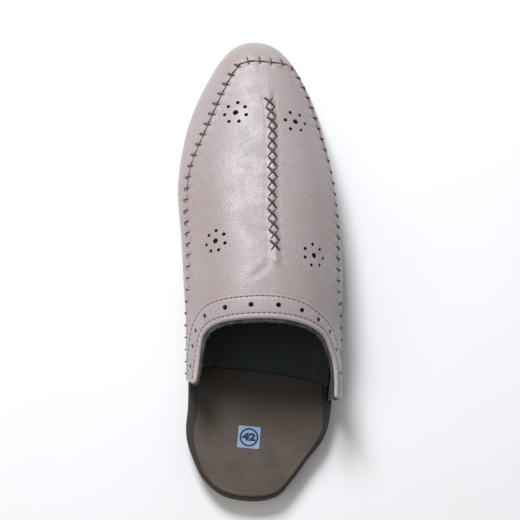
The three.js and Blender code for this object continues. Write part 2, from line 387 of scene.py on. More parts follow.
def run(line, distances, step=0.5):
    """Rows on a line, and the line's own directions there."""
    rows = line.at(distances)
    ahead = place(line.at(distances + step)) - place(line.at(distances - step))
    return rows, frame_on(rows, ahead)


test_rows, test_axes = run(seam, np.array([100.0]))
gone = place(moved(test_rows, test_axes[1], 4.0)) - place(test_rows)
print("4 mm sideways measures", round(float(np.linalg.norm(gone)), 2), "mm")

# %% [markdown]
# ## From sheets of points to solid leather
#
# Every leather piece is a sheet with a thickness: an outer grid, an inner grid, and an edge that
# closes them. Cut leather has a slightly round edge, so both grids are brought together there
# and their points merged, which also leaves every piece a closed solid. The origin of the packed
# model lies under the middle of its box, so the sole's own box gives the way from the last's
# numbers to metres.

# %% Millimetres on the last to metres in the scene
fine_section = section(FINE_ROWS)
low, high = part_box("outsole")
shift = np.array([
    (low.x + high.x) * 500 - (fine_section[2].max() - fine_section[1].max()) / 2,
    (low.y + high.y) * 500 - LENGTH / 2,
    low.z * 1000,
])
print("shift in mm:", np.round(shift, 3))


def metres(points):
    return (np.asarray(points, float) + shift) / 1000


# %% Grids to meshes
def quads(ids):
    """Faces between neighbouring rows of point numbers."""
    a, b, c, d = ids[:-1, :-1], ids[:-1, 1:], ids[1:, 1:], ids[1:, :-1]
    return np.stack([a, b, c, d], -1).reshape(-1, 4)


def fetched(items, key):
    """Three numbers from each vertex or face of a mesh."""
    values = np.zeros(len(items) * 3)
    items.foreach_get(key, values)
    return values.reshape(-1, 3)


def numbered(grid, start=0):
    """Point numbers for a grid of points."""
    return np.arange(grid[..., 0].size).reshape(grid.shape[:2]) + start


def solid(name, points, faces, finish, tags=None):
    """A closed mesh from points in mm, with doubles merged and faces outwards."""
    mesh = bpy.data.meshes.new(name)
    faces = faces if isinstance(faces, list) else faces.tolist()
    mesh.from_pydata(metres(points).tolist(), [], faces)
    if tags is not None:
        mesh.polygons.foreach_set("material_index", np.asarray(tags, np.int32))
    cleaner = bmesh.new()
    cleaner.from_mesh(mesh)
    bmesh.ops.remove_doubles(cleaner, verts=cleaner.verts, dist=1e-6)
    bmesh.ops.dissolve_degenerate(cleaner, edges=cleaner.edges, dist=1e-7)
    open_edges = sum(not e.is_manifold for e in cleaner.edges)
    bmesh.ops.recalc_face_normals(cleaner, faces=cleaner.faces)
    if cleaner.calc_volume(signed=True) < 0:
        bmesh.ops.reverse_faces(cleaner, faces=cleaner.faces)
    cleaner.to_mesh(mesh)
    cleaner.free()
    mesh.polygons.foreach_set("use_smooth", [True] * len(mesh.polygons))
    for material in finish if isinstance(finish, list) else [finish]:
        mesh.materials.append(material)
    print(f"{name}: {len(mesh.polygons)} faces, {open_edges} open edges")
    return put(name, mesh)


def two_sided(outer, inner):
    """Points and faces of a shell between two grids of the same size."""
    points = np.concatenate([outer.reshape(-1, 3), inner.reshape(-1, 3)])
    top = numbered(outer)
    under = top + top.size
    faces = [quads(top), quads(under[:, ::-1])]
    faces += [quads(np.stack([under[0], top[0]])), quads(np.stack([top[-1], under[-1]]))]
    faces.append(quads(np.stack([under[:, 0], top[:, 0]], 1)))
    faces.append(quads(np.stack([top[:, -1], under[:, -1]], 1)))
    return points, np.concatenate(faces)


def round_off(distance, radius):
    """How far a surface has dropped at a distance from a rounded edge."""
    x = radius - np.clip(distance, 0, radius)
    return radius - np.sqrt(np.maximum(radius**2 - x**2, 0))


def eased(count, length, fine=(0, 0.05, 0.18, 0.4, 0.75)):
    """Shares from 0 to 1 with close steps at both ends, given in mm of the length."""
    close = np.array(fine) / length
    middle = np.linspace(fine[-1] / length, 1 - fine[-1] / length, count)
    return np.concatenate([close[:-1], middle, 1 - close[-2::-1]])


def nearest(points, line_points):
    """For each point, the distance to a dense row of points and the number of the nearest."""
    tree = kdtree.KDTree(len(line_points))
    for i, p in enumerate(line_points):
        tree.insert(p, i)
    tree.balance()
    found = [tree.find(p)[1:] for p in points.reshape(-1, 3)]
    number, distance = np.array(found).T
    return distance.reshape(points.shape[:-1]), number.astype(int).reshape(points.shape[:-1])


print("an edge of radius 0.5 drops", np.round(round_off(np.array([0, 0.1, 0.5]), 0.5), 2))

# %% [markdown]
# ## Finishes, written as sums
#
# A finish is a small calculation over the surface: grain here, a darker fold there. To keep it
# readable, one small class wraps a socket, so that masks can be added and multiplied as in
# ordinary Python, and one method makes every other node. All patterns read Object coordinates,
# which are metres on the slipper itself, so a grain scale of 900 means about 1.1 mm.


# %% A class for sums and a method for nodes
class Wire:
    def __init__(self, finish, socket):
        self.finish, self.socket = finish, socket

    def math(self, operation, first, second):
        made = self.finish.node("ShaderNodeMath", {"operation": operation}, {0: first, 1: second})
        return Wire(self.finish, made.outputs[0])

    def __add__(self, other):
        return self.math("ADD", self, other)

    __radd__ = __add__

    def __sub__(self, other):
        return self.math("SUBTRACT", self, other)

    def __rsub__(self, other):
        return self.math("SUBTRACT", other, self)

    def __mul__(self, other):
        return self.math("MULTIPLY", self, other)

    __rmul__ = __mul__


def add_node(tree, kind, settings=(), inputs=()):
    """A node of any tree: its settings first, then the values or links of its sockets."""
    node = tree.nodes.new(kind)
    for key, value in dict(settings).items():
        setattr(node, key, value)
    for key, value in dict(inputs).items():
        value = value.socket if isinstance(value, Wire) else value
        if isinstance(value, bpy.types.NodeSocket):
            tree.links.new(value, node.inputs[key])
        else:
            node.inputs[key].default_value = value
    return node


class Finish:
    def __init__(self, name):
        self.material = bpy.data.materials.new(name)
        self.material.use_nodes = True
        self.tree = self.material.node_tree
        self.tree.nodes.clear()
        self.coordinates = self.node("ShaderNodeTexCoord").outputs["Object"]

    def node(self, kind, settings=(), inputs=()):
        return add_node(self.tree, kind, settings, inputs)

    def noise(self, scale, detail, roughness, stretch=None):
        """Soft noise around 0.5."""
        vector = self.coordinates
        if stretch:
            values = {"Vector": vector, "Scale": stretch}
            vector = self.node("ShaderNodeMapping", {}, values).outputs[0]
        values = {"Vector": vector, "Scale": scale, "Detail": detail, "Roughness": roughness}
        return Wire(self, self.node("ShaderNodeTexNoise", {}, values).outputs["Fac"])

    def cells(self, scale, feature="F1"):
        """Distance inside a cell of a pebbled pattern."""
        values = {"Vector": self.coordinates, "Scale": scale}
        if feature == "SMOOTH_F1":
            values["Smoothness"] = 0.3
        made = self.node("ShaderNodeTexVoronoi", {"feature": feature}, values)
        return Wire(self, made.outputs["Distance"])

    def between(self, value, low, high, to_low=0.0, to_high=1.0):
        values = {"Value": value, "From Min": low, "From Max": high, "To Min": to_low}
        values["To Max"] = to_high
        made = self.node("ShaderNodeMapRange", {"interpolation_type": "SMOOTHSTEP"}, values)
        return Wire(self, made.outputs["Result"])

    def blend(self, factor, first, second):
        """Two colours mixed; a colour is three numbers or a link."""
        made = self.node("ShaderNodeMix", {"data_type": "RGBA"}, {"Factor": factor})
        for socket, colour in ((made.inputs[6], first), (made.inputs[7], second)):
            if isinstance(colour, Wire):
                self.tree.links.new(colour.socket, socket)
            else:
                socket.default_value = (*colour, 1)
        return Wire(self, made.outputs[2])

    def surface(self, colour, roughness, height, depth, **constants):
        """The shader: height is in units of depth, and depth is in metres."""
        bump = self.node("ShaderNodeBump", {}, {"Height": height, "Distance": depth})
        values = {"Base Color": colour, "Roughness": roughness, "Normal": bump.outputs["Normal"]}
        shader = self.node("ShaderNodeBsdfPrincipled", {}, {**values, **constants})
        self.node("ShaderNodeOutputMaterial", {}, {"Surface": shader.outputs["BSDF"]})
        return self.material


def srgb(red, green, blue):
    """A screen colour from 0 to 255 as the linear numbers that a shader needs."""
    share = np.array([red, green, blue]) / 255
    linear = np.where(share <= 0.04045, share / 12.92, ((share + 0.055) / 1.055) ** 2.4)
    return tuple(float(v) for v in linear)


print("pale leather in linear numbers:", np.round(srgb(204, 188, 183), 3))

# %% [markdown]
# ## Leather for the upper
#
# The upper is a smooth undyed cowhide with a satin pearl dressing: almost even in tone, warm in
# the shade, cool where the light glances off. Up close it has a fine pebble, faint stretch lines
# and a few pores. The pebble is a cell pattern, the stretch lines are noise drawn out along the
# foot, and broad noise shifts the colour a little, since no hide is the same all over.


# %% Satin leather, for vamp, wall and band
def satin_leather(name, colour, warm, cool):
    f = Finish(name)
    blotches = f.noise(22, 3, 0.55)
    clouds = f.noise(75, 4, 0.6)
    pebble = f.cells(1050, "SMOOTH_F1")
    fine = f.noise(2600, 2, 0.6)
    stretch = f.noise(260, 4, 0.65, (2.4, 0.5, 1.2))
    pores = f.between(f.cells(620), 0.0, 0.16)
    tone = f.blend(f.between(blotches, 0.36, 0.66), warm, colour)
    tone = f.blend(f.between(clouds, 0.45, 0.75, 0.0, 0.45), tone, cool)
    # painted shade: the tone darkens in the pebble's hollows and in the pores
    shade = 0.9 + 0.1 * f.between(pebble, 0.7, 0.12)
    shade = shade * (0.94 + 0.06 * pores)
    dark = tuple(0.8 * v for v in warm)
    tone = f.blend(f.between(shade, 0.8, 1.0), dark, tone)
    rough = 0.37 + 0.16 * f.between(clouds, 0.35, 0.7) + 0.1 * (1 - pores)
    height = 0.5 * (1 - pebble) + 0.22 * fine + 0.9 * stretch + 0.25 * pores
    return f.surface(
        tone, rough, height, 0.00016, **{"Specular IOR Level": 0.5, "Sheen Weight": 0.12}
    )


upper_leather = satin_leather(
    "satin_upper", srgb(168, 155, 152), srgb(167, 150, 144), srgb(166, 159, 163)
)
band_leather = satin_leather(
    "satin_band", srgb(172, 161, 159), srgb(169, 155, 151), srgb(172, 165, 169)
)
# the band's rolled rim: the same leather, painted lighter as a highlight
rim_highlight_leather = satin_leather(
    "light_rim", srgb(206, 196, 192), srgb(190, 174, 164), srgb(214, 207, 206)
)
print("upper nodes:", len(upper_leather.node_tree.nodes))


# %% Cut leather, sock, board, lining, thread, rubber and label
def cut_leather(name):
    f = Finish(name)
    fibres = f.noise(1500, 4, 0.7)
    layers = f.noise(420, 3, 0.6, (1, 1, 4))
    tone = f.blend(f.between(fibres, 0.35, 0.65), srgb(176, 160, 140), srgb(226, 216, 198))
    height = 0.7 * fibres + 0.5 * layers
    return f.surface(tone, 0.75 + 0.15 * fibres, height, 0.0003)


def sock_finish(name, colour, light, dark, front_shade_tone):
    """Matt brown leather: painted light with some wear at the heel, painted shade in front."""
    f = Finish(name)
    # distance from the middle of the heel, as a share of the patch of painted light and wear
    heel = {"Vector": f.coordinates, "Location": (0.004, 0.118, 0.0), "Scale": (22, 15, 1)}
    centred = f.node("ShaderNodeMapping", {}, heel)
    far = f.node("ShaderNodeVectorMath", {"operation": "LENGTH"}, {0: centred.outputs[0]})
    far = Wire(f, far.outputs["Value"])
    clouds = f.noise(60, 4, 0.6)
    grain = f.cells(1500, "SMOOTH_F1")
    fine = f.noise(3000, 2, 0.6)
    scuffs = f.noise(230, 4, 0.7, (0.6, 2.2, 1))
    heel_light_and_wear = f.between(far + 0.5 * clouds, 1.75, 0.3) * (0.6 + 0.4 * f.between(scuffs, 0.35, 0.62))
    tone = f.blend(f.between(clouds, 0.3, 0.7), dark, colour)
    # painted light: the heel takes the lighter tone, with scuffs of wear
    tone = f.blend(heel_light_and_wear, tone, light)
    parted = f.node("ShaderNodeSeparateXYZ", {}, {"Vector": f.coordinates})
    # painted shade darkens the front between these two places on the Y axis, in metres
    front = f.between(Wire(f, parted.outputs["Y"]) + 0.012 * clouds, -0.118, -0.052)
    tone = f.blend(front, tone, front_shade_tone)
    tone = f.blend(f.between(grain, 0.25, 0.75, 0.0, 0.35), tone, dark)
    height = 0.6 * (1 - grain) + 0.3 * fine + 0.5 * scuffs
    return f.surface(tone, 0.62 + 0.2 * clouds - 0.12 * heel_light_and_wear, height, 0.00016)


def flecked(name, tones, broad, fine, flecks, gloss, depth, pulled=None, **constants):
    """Two tones in slow patches, with flecks of a third. Where the nap is pulled one way, the
    patches set the gloss, and elsewhere the flecks do."""
    f = Finish(name)
    patches, specks = f.noise(*broad), f.noise(*fine)
    tone = f.blend(f.between(patches, 0.35, 0.65), *tones[:2])
    tone = f.blend(f.between(specks, *flecks), tone, tones[2])
    shine, height = specks, specks
    if pulled:
        shine, height = patches, 0.8 * specks + 0.4 * f.noise(*pulled)
    return f.surface(tone, gloss[0] + gloss[1] * shine, height, depth, **constants)


def suede(name, colour, light, dark):
    """A brushed skin: short fibres that lie one way and another in soft patches."""
    return flecked(
        name, (dark, colour, light), (110, 4, 0.6), (2400, 4, 0.75), (0.5, 0.72, 0.0, 0.8),
        (0.85, 0.1), 0.00028, (700, 3, 0.6, (1, 0.35, 1)), **{"Sheen Weight": 0.15},
    )


def printed_paper(name, colour, dark):
    f = Finish(name)
    fibres = f.noise(1600, 4, 0.7, (1, 2.5, 1))
    clouds = f.noise(180, 2, 0.5)
    tone = f.blend(f.between(fibres, 0.35, 0.75, 0.0, 0.5), colour, dark)
    tone = f.blend(f.between(clouds, 0.4, 0.7, 0.0, 0.35), tone, dark)
    return f.surface(tone, 0.5 + 0.2 * fibres, fibres, 0.00003)


cut_edge = cut_leather("cut_edge")
# the second colour is painted light on the heel with some wear, the last is painted front shade
sock_leather = sock_finish(
    "brown_sock", srgb(100, 87, 75), srgb(118, 106, 95), srgb(80, 68, 57), srgb(40, 33, 27)
)
board_leather = sock_finish(
    "board_leather", srgb(60, 51, 43), srgb(74, 65, 55), srgb(46, 39, 33), srgb(40, 50, 50)
)
floor_suede = suede("floor_suede", srgb(62, 66, 62), srgb(78, 82, 77), srgb(48, 52, 49))
lining_suede = suede("lining_suede", srgb(86, 108, 130), srgb(124, 146, 166), srgb(60, 78, 96))
thread = flecked(
    "thread", (srgb(66, 48, 47), srgb(96, 74, 72), srgb(128, 104, 100)), (240, 3, 0.6),
    (3800, 3, 0.6), (0.5, 0.75, 0.0, 0.6), (0.42, 0.25), 0.00012,
)
rubber = flecked(
    "rubber", (srgb(50, 43, 38), srgb(66, 57, 50), srgb(104, 94, 84)), (48, 4, 0.6),
    (1900, 3, 0.7), (0.6, 0.78, 0.0, 0.4), (0.68, 0.2), 0.0001,
)
paper = printed_paper("paper", srgb(140, 166, 194), srgb(120, 146, 178))
ink = printed_paper("ink", srgb(22, 26, 48), srgb(30, 34, 58))
print("finishes:", sorted(m.name for m in bpy.data.materials if m.use_nodes))

# %% [markdown]
# ## Plates that follow the outline
#
# Sole, insole board and sock are plates with the outline of the foot and a moulded edge. Such a
# plate could be extruded and bevelled, but the top isn't flat. So each is built from rings: the
# outline moved inwards step by step, each step with its own height, and then closed across the
# foot by rows that join the inner side to the outer side.


# %% The outline of the sole as one loop
SIDE_STEPS = 150


def outline(inset):
    """The loop toe, inner side, heel, outer side, moved inwards; inset depends on (along, side)."""
    along, inner, outer = section(LAST_ROW * np.linspace(0, 1, SIDE_STEPS + 1))[:3]
    inner, outer = np.stack([-inner, along], -1), np.stack([outer, along], -1)
    loop = np.concatenate([inner, outer[-2:0:-1]])
    run_on = unit(np.roll(loop, -1, 0) - np.roll(loop, 1, 0))
    inwards = np.stack([-run_on[:, 1], run_on[:, 0]], -1)
    side = np.where(np.arange(len(loop)) <= SIDE_STEPS, -1, 1)
    return loop + inwards * np.asarray(inset(loop[:, 1], side))[:, None]


def halves(loop):
    """The inner and the outer side of a loop, both from toe to heel."""
    return loop[: SIDE_STEPS + 1], np.concatenate([loop[:1], loop[:SIDE_STEPS - 1:-1]])


probe = outline(lambda along, side: 2.0 + 0 * along)
print("outline points:", len(probe), "toe moved in to", np.round(probe[0], 1))


# %% A plate from rings
def plate(name, inset, profile, height, finish, columns, relief):
    """profile: (step inwards, share of the thickness, extra mm) from underside to top."""
    rings = []
    for step, share, extra in profile:
        loop = outline(lambda along, side: inset(along, side) + step)
        low, high = height(loop[:, 1])
        rings.append(np.column_stack([loop, low + share * (high - low) + extra]))
    rings = np.array(rings)
    points = [rings.reshape(-1, 3)]
    ids = numbered(rings)
    faces = [quads(np.column_stack([ids, ids[:, :1]])[:, ::-1])]
    start = ids.size
    for ring, top in ((rings[0], False), (rings[-1], True)):
        left, right = halves(ring)
        f = np.linspace(0, 1, columns + 1)[None, :, None]
        fill = left[:, None] * (1 - f) + right[:, None] * f
        fill[..., 2] += relief(fill, top)
        fill[:, 0], fill[:, -1] = left, right
        rows = numbered(fill, start)
        start += rows.size
        points.append(fill.reshape(-1, 3))
        faces.append(quads(rows[:, ::-1] if top else rows))
    return solid(name, np.concatenate(points), np.concatenate(faces), finish)


# %% [markdown]
# ## The sole
#
# The sole is one moulding of dark rubber, nine millimetres under the heel and five under the
# ball, lifted a little at the toe. Its edge is rounded, and a fine groove runs round it where the
# tread layer meets the layer above. Nobody sees the tread while the slipper stands, but it is
# looked at when the slipper is picked up, so it gets low ribs across the foot that keep clear of
# the edge.


# %% Rubber sole
RIB_PITCH, RIB_DEPTH = 5, 0.8
HEEL_TREAD, BALL_TREAD = 74, 150  # ribs up to the one and from the other


def tread(fill, top):
    """Ribs across the foot, on the underside of the heel and of the ball."""
    if top:
        return 0
    along = fill[..., 1]
    left, right = fill[:, :1, 0], fill[:, -1:, 0]
    room = np.minimum(fill[..., 0] - left, right - fill[..., 0])
    bearing = smooth((HEEL_TREAD - along) / 4) + smooth((along - BALL_TREAD) / 4)
    bow = 0.005 * fill[..., 0] ** 2
    wave = 0.5 + 0.5 * np.cos(2 * np.pi * (along + bow) / RIB_PITCH)
    return RIB_DEPTH * smooth(room / 3) * bearing * smooth((wave - 0.35) / 0.3)


SOLE_EDGE = [
    (3.0, 0, 0), (2.0, 0, 0.0), (1.2, 0, 0.12), (0.6, 0, 0.42), (0.2, 0, 0.95), (0.0, 0, 1.6),
    (0.0, 0.3, 0.9), (0.05, 0.5, 0.2), (0.4, 0.55, 0.05), (0.4, 0.55, 0.25), (0.0, 0.6, 0.3),
    (0.0, 1, -0.9), (0.15, 1, -0.4), (0.45, 1, -0.1), (0.9, 1, 0),
]
sole_unit = plate(
    "sole_unit", lambda along, side: 0 * along, SOLE_EDGE,
    lambda along: (ground_side(along), sole_top(along)), rubber, 44, tread,
)

# %% [markdown]
# ## Insole board and heel sock
#
# Inside lies a board covered with thin leather, level with the sole's edge behind the side walls
# and tucked between them in front. A second leather, the sock, is glued over the heel half. Its
# front edge runs slightly askew and its sides stop short of the board's edge near the walls.


# %% Insole board
BOARD = 2.1  # thickness
SHOULDERS = 69.1, 59.1  # where the board narrows for the walls, inner and outer side
EDGE_ROOM, WALL_ROOM = 0.25, 3.5  # how far it keeps inside the sole's edge


def wall_room(along, side):
    """How far the board keeps inside the sole's edge: more where the side wall stands."""
    shoulder = np.where(side < 0, *SHOULDERS)
    return EDGE_ROOM + (WALL_ROOM - EDGE_ROOM) * smooth((along - shoulder + 0.6) / 1.2)


BOARD_EDGE = [
    (1.2, 0, 0), (0.5, 0, 0), (0.12, 0, 0.3), (0.0, 0, 0.8), (0.0, 1, -0.8), (0.12, 1, -0.4),
    (0.4, 1, -0.12), (0.8, 1, 0), (1.6, 1, 0),
]
insole_board = plate(
    "insole_board", wall_room, BOARD_EDGE,
    lambda along: (wall_foot(along), wall_foot(along) + BOARD), board_leather, 40,
    lambda fill, top: 0.06 * np.sin(fill[..., 0] / 7) * np.sin(fill[..., 1] / 9) * top,
)


# %% Heel sock
# distance from the heel end, how far the sock stays inside the sole: inner side, outer side
SOCK_MARGIN = [
    (80, 7.4, 7.2), (70, 6.4, 6.4), (58, 6.4, 5.4), (50, 6.0, 3.8), (40, 4.6, 2.2), (28, 2.6, 1.3),
    (14, 1.3, 1.2), (0, 1.2, 1.2),
]
SOCK_FRONT = 80.0, 70.5  # where its front edge meets the two sides
FRONT_BOW = 2.2  # the front edge bows towards the toe


def sock_grid(rows=110, columns=90):
    margin = np.array(SOCK_MARGIN, float)[::-1]
    sides = []
    for column, start in enumerate(SOCK_FRONT, 1):
        loop = outline(lambda a, s: np.interp(a, margin[:, 0], margin[:, column]))
        half = halves(loop)[column - 1]
        half = half[half[:, 1] < start + 12]
        length = length_to(half)
        begin = np.interp(-start, -half[:, 1], length)
        reach = begin + (length[-1] - begin) * eased(rows, length[-1] - begin)
        sides.append(read(reach, length, half))
    f = eased(columns, 70)[None, :, None]
    grid = sides[0][:, None] * (1 - f) + sides[1][:, None] * f
    w = np.linspace(0, 1, grid.shape[0])[:, None]
    grid[..., 1] += FRONT_BOW * 4 * f[..., 0] * (1 - f[..., 0]) * (1 - w) ** 3
    return grid


def swell(plan):
    """The sock's slow ups and downs in mm."""
    return 0.1 * np.sin(plan[..., 0] / 11 + 1) * np.sin(plan[..., 1] / 13)


sock_plan = sock_grid()
rim = np.concatenate([sock_plan[0], sock_plan[:, -1], sock_plan[::-1, 0]])
rim = np.column_stack([rim, np.zeros(len(rim))])
quarters = np.linspace(0, 1, 5)[:-1, None]
rim = np.concatenate([a + (b - a) * quarters for a, b in zip(rim, rim[1:])])
flat_plan = np.dstack([sock_plan, np.zeros(sock_plan.shape[:2])])
edge_distance, _ = nearest(flat_plan, rim)
SOCK = SOCK_TOP - BOARD
board_top = wall_foot(sock_plan[..., 1]) + BOARD
press = -0.08 * bell(edge_distance - 2.6, 0.5)  # a creased line along the edge
sock_lift = SOCK - round_off(edge_distance, SOCK)
sock_lift += (swell(sock_plan) + press) * smooth(edge_distance / 2)
sock_top, sock_back = (np.dstack([sock_plan, board_top + lift]) for lift in (sock_lift, 0))
heel_sock = solid("heel_sock", *two_sided(sock_top, sock_back), sock_leather)

# %% [markdown]
# ## The side wall
#
# A low wall of leather stands round the foot from one end of the mouth to the other. Its upper
# edge is sewn under the vamp, so it runs on about two millimetres beneath it and sinks where the
# vamp's edge presses on it. The grid has to pass from two long sides to a closed toe: its rows
# run from the mouth to the toe seam on each side, and from there on across the whole toe cap.

# %% The pitch of the stitches, and which side of the seam a place is on
BAR_PITCH, FIRST_BAR = 7.2, 4.5
INNER_CORNER = inner_seam.length
OUTER_CORNER = inner_seam.length + toe_seam.length
seam_points = place(seam.rows)
seam_axes = frame_on(seam.rows, np.gradient(seam_points, axis=0))


def near_seam(points):
    """Distance from the seam in mm, above 0 on the wall's side, and the place along it."""
    distance, number = nearest(points, seam_points)
    side = ((points - seam_points[number]) * seam_axes[1][number]).sum(-1)
    return distance * np.sign(side + 1e-9), seam.distance[number]


def beat(distance, pitch, first):
    """1 at each stitch and 0 half way between two."""
    return 0.5 + 0.5 * np.cos(2 * np.pi * (distance - first) / pitch)


print("bars along the seam:", int((seam.length - 2 * FIRST_BAR) / BAR_PITCH) + 1)

# %% The wall's grid
UNDERLAP = 2.0  # how far the wall runs on beneath the vamp
SEAM_SPARE = 0.6  # its top keeps this far inside the ends of each seam
SIDE_ROWS, CAP_ROWS, WALL_COLUMNS, CAP_COLUMNS = 200, 34, 30, 40


def wall_top(line, count):
    rows, axes = run(line, np.linspace(SEAM_SPARE, line.length - SEAM_SPARE, count))
    return moved(rows, -axes[1], UNDERLAP)


inner_top = wall_top(inner_seam, SIDE_ROWS)
outer_top = wall_top(outer_seam, SIDE_ROWS)[::-1]
toe_top = wall_top(toe_seam, CAP_COLUMNS + 1)
toe_top[0], toe_top[-1] = inner_top[-1], outer_top[-1]
share = np.linspace(0, 1, WALL_COLUMNS + 1)
ends = 1 - np.linspace(0, 1, SIDE_ROWS)[:, None]


def wall_side(top, foot_turn):
    """Rows of (distance, turn) from the sole up to the line under the vamp."""
    turn = foot_turn + (top[:, 1:] - foot_turn) * share[None]
    along = top[:, :1] + 0.8 * ends * (1 - share[None]) ** 2  # the cut end leans a little
    return np.dstack([along, turn])


side_in, side_out = wall_side(inner_top, 0.0), wall_side(outer_top, 2.0)
last_row = np.concatenate([side_in[-1], toe_top[1:-1], side_out[-1, ::-1]])
cap_row = row_at(last_row[:, 0])[None] * (1 - np.linspace(0, 1, CAP_ROWS + 1)[:, None])
cap_turn = np.broadcast_to(last_row[:, 1], cap_row.shape)
print("cap grid:", cap_row.shape, "side grid:", side_in.shape)


# %% The wall's surfaces
WALL_ENDS = 69.4, 59.5  # distance of its ends from the heel end, inner and outer side
WALL_OUTSIDE, WALL_INSIDE = -0.5, -1.62  # lifts of its two faces


def wall_sheets(t, turn):
    """Outer and inner points of the wall for grids of row position and turn."""
    base = form(t, turn)
    from_seam, at = near_seam(base)
    height = base[..., 2] - wall_foot(base[..., 1])
    under = 1 - smooth((from_seam + 0.2) / 1.7)  # 1 beneath the vamp
    gather = beat(at, BAR_PITCH, FIRST_BAR)
    fold = np.exp(-np.clip(from_seam, 0, None) / 3.8) * smooth(from_seam / 1.2)
    outer = WALL_OUTSIDE - 0.65 * under - 0.5 * gather**3 * fold + 0.22 * (1 - gather) * fold
    outer -= 0.35 * (1 - smooth(height / 2.2))  # drawn in at the sole
    outer += 0.12 * np.sin(base[..., 1] / 9.0) * np.sin(height / 6.0 + 1) * smooth(height / 5)
    end = np.clip(base[..., 1] - np.where(turn < 1, *WALL_ENDS), 0, 9)
    outer -= round_off(end, 0.5)
    return lifted(t, turn, outer), lifted(t, turn, WALL_INSIDE + round_off(end, 0.2))


grids = [(row_at(side[..., 0]), side[..., 1]) for side in (side_in, side_out)]
sheets = [wall_sheets(*rows) for rows in [*grids, (cap_row, cap_turn)]]
wall_points, wall_ids, wall_faces, start = [], [], [], 0
for layer in (0, 1):
    for number, skins in enumerate(sheets):
        ids = numbered(skins[layer], start)
        start += ids.size
        wall_points.append(skins[layer].reshape(-1, 3))
        wall_ids.append(ids)
        mirrored = (number == 1) != (layer == 1)
        wall_faces.append(quads(ids[:, ::-1] if mirrored else ids))
edges = []  # pairs of rows of point numbers, joined by faces
for side, flip in ((0, 1), (1, -1)):
    outer_ids, inner_ids = wall_ids[side], wall_ids[side + 3]
    for pair in (
        (inner_ids[0], outer_ids[0]),
        (outer_ids[:, -1], inner_ids[:, -1]),
        (inner_ids[:, 0], outer_ids[:, 0]),
    ):
        edges.append(pair[::flip])
cap_out, cap_in = wall_ids[2], wall_ids[5]
toe = slice(WALL_COLUMNS, -WALL_COLUMNS)  # the cap's first row runs on from the sides' last rows
edges += [(cap_out[0, toe], cap_in[0, toe]), (cap_in[:, 0], cap_out[:, 0])]
edges.append((cap_out[:, -1], cap_in[:, -1]))
wall_faces = np.concatenate(wall_faces + [quads(np.stack(pair)) for pair in edges])
side_wall = solid("side_wall", np.concatenate(wall_points), wall_faces, [upper_leather, cut_edge])


# %% The cut ends
def tag_cut_ends(piece, reach=0.5):
    """Gives the blunt ends of a piece, beside the mouth, the look of cut leather."""
    x, y, z = (fetched(piece.data.polygons, "center") * 1000 - shift).T
    cut = np.zeros(len(x), bool)
    inner_end, outer_end = mouth_rows[: MOUTH_CORNER + 1], mouth_rows[-MOUTH_CORNER - 1:][::-1]
    for rows, here in ((inner_end, x < 0), (outer_end, x >= 0)):
        end = place(rows)
        cut |= here & (y < np.interp(z, end[:, 2], end[:, 1]) + reach) & (z < end[-1, 2] + 0.5)
    tags = np.zeros(len(x), np.int32)
    piece.data.polygons.foreach_get("material_index", tags)
    piece.data.polygons.foreach_set("material_index", np.maximum(tags, cut))
    print(piece.name, "cut faces:", int(cut.sum()))


tag_cut_ends(side_wall, 1.3)

# %% [markdown]
# ## The vamp
#
# The vamp is the one large skin over the foot, and most of what is seen. It has four edges: the
# two side seams, the toe seam and the mouth. A sheet between four given edges is a Coons patch:
# blend the two long edges, blend the two short ones, add both and take away the plane through
# the corners. Done on the last's own numbers, the sheet hugs the foot by itself, and only the
# relief is left to add: the rolled edge with its gathers, the laced ridge and a few soft creases.


# %% The patch between four seams
def coons(u, v):
    first, last = inner_seam.at(u * inner_seam.length), outer_seam.at((1 - u) * outer_seam.length)
    back, front = mouth.at(v * mouth.length), toe_seam.at(v * toe_seam.length)
    u, v = u[:, None, None], v[None, :, None]
    sides = first[:, None] * (1 - v) + last[:, None] * v
    ends = back[None] * (1 - u) + front[None] * u
    corners = (back[0] * (1 - v) + back[-1] * v) * (1 - u)
    return sides + ends - (corners + (front[0] * (1 - v) + front[-1] * v) * u)


vamp_rows = coons(eased(250, 185), eased(150, 140))
vamp_t, vamp_turn = row_at(vamp_rows[..., 0]), vamp_rows[..., 1]
vamp_base = form(vamp_t, vamp_turn)
vamp_rim = np.concatenate([seam_points, place(mouth.rows)])
vamp_edge, _ = nearest(vamp_base, vamp_rim)
vamp_seam, vamp_beat = near_seam(vamp_base)
print("vamp grid:", vamp_rows.shape)

# %% The lacing and the creases
LACE_PITCH, LACE_WIDTH = 7.0, 5.0
LACE_FIRST = 6.0  # the first cross from the lacing's end
LACE_RIDGE = 0.85
lace_count = int((lacing.length - 2 * LACE_FIRST) / LACE_PITCH) + 1
lace_points = place(lacing.rows)
# from (distance, turn) to (distance, turn), depth and width in mm
CREASES = [
    (262, 1.1, 252, 1.32, 0.35, 1.8), (256, 0.8, 247, 0.93, 0.18, 1.6),
    (215, 0.93, 204, 0.7, 0.16, 1.5), (206, 0.92, 195, 0.72, 0.14, 1.3),
    (222, 0.95, 213, 0.8, 0.14, 1.2), (133, 1.0, 122, 0.9, 0.26, 2.2),
    (131, 1.06, 119, 1.2, 0.2, 2.4), (186, 1.14, 172, 1.4, 0.16, 2.2),
    (172, 0.84, 160, 0.5, 0.15, 2.0), (150, 1.5, 128, 1.42, 0.18, 2.6),
    (143, 0.42, 126, 0.5, 0.16, 2.4), (198, 0.52, 186, 0.6, 0.12, 1.8),
]


def along_lacing(points):
    """How far across the lacing and along it a place is, in mm."""
    order = np.argsort(lace_points[:, 1])
    middle = np.interp(points[..., 1], lace_points[order, 1], lace_points[order, 0])
    at = np.interp(points[..., 1], lace_points[order, 1], lacing.distance[order])
    past = np.clip(points[..., 1] - lace_points[0, 1], 0, None)
    short = np.clip(lace_points[-1, 1] - points[..., 1], 0, None)
    return points[..., 0] - middle, at, np.maximum(past, short)


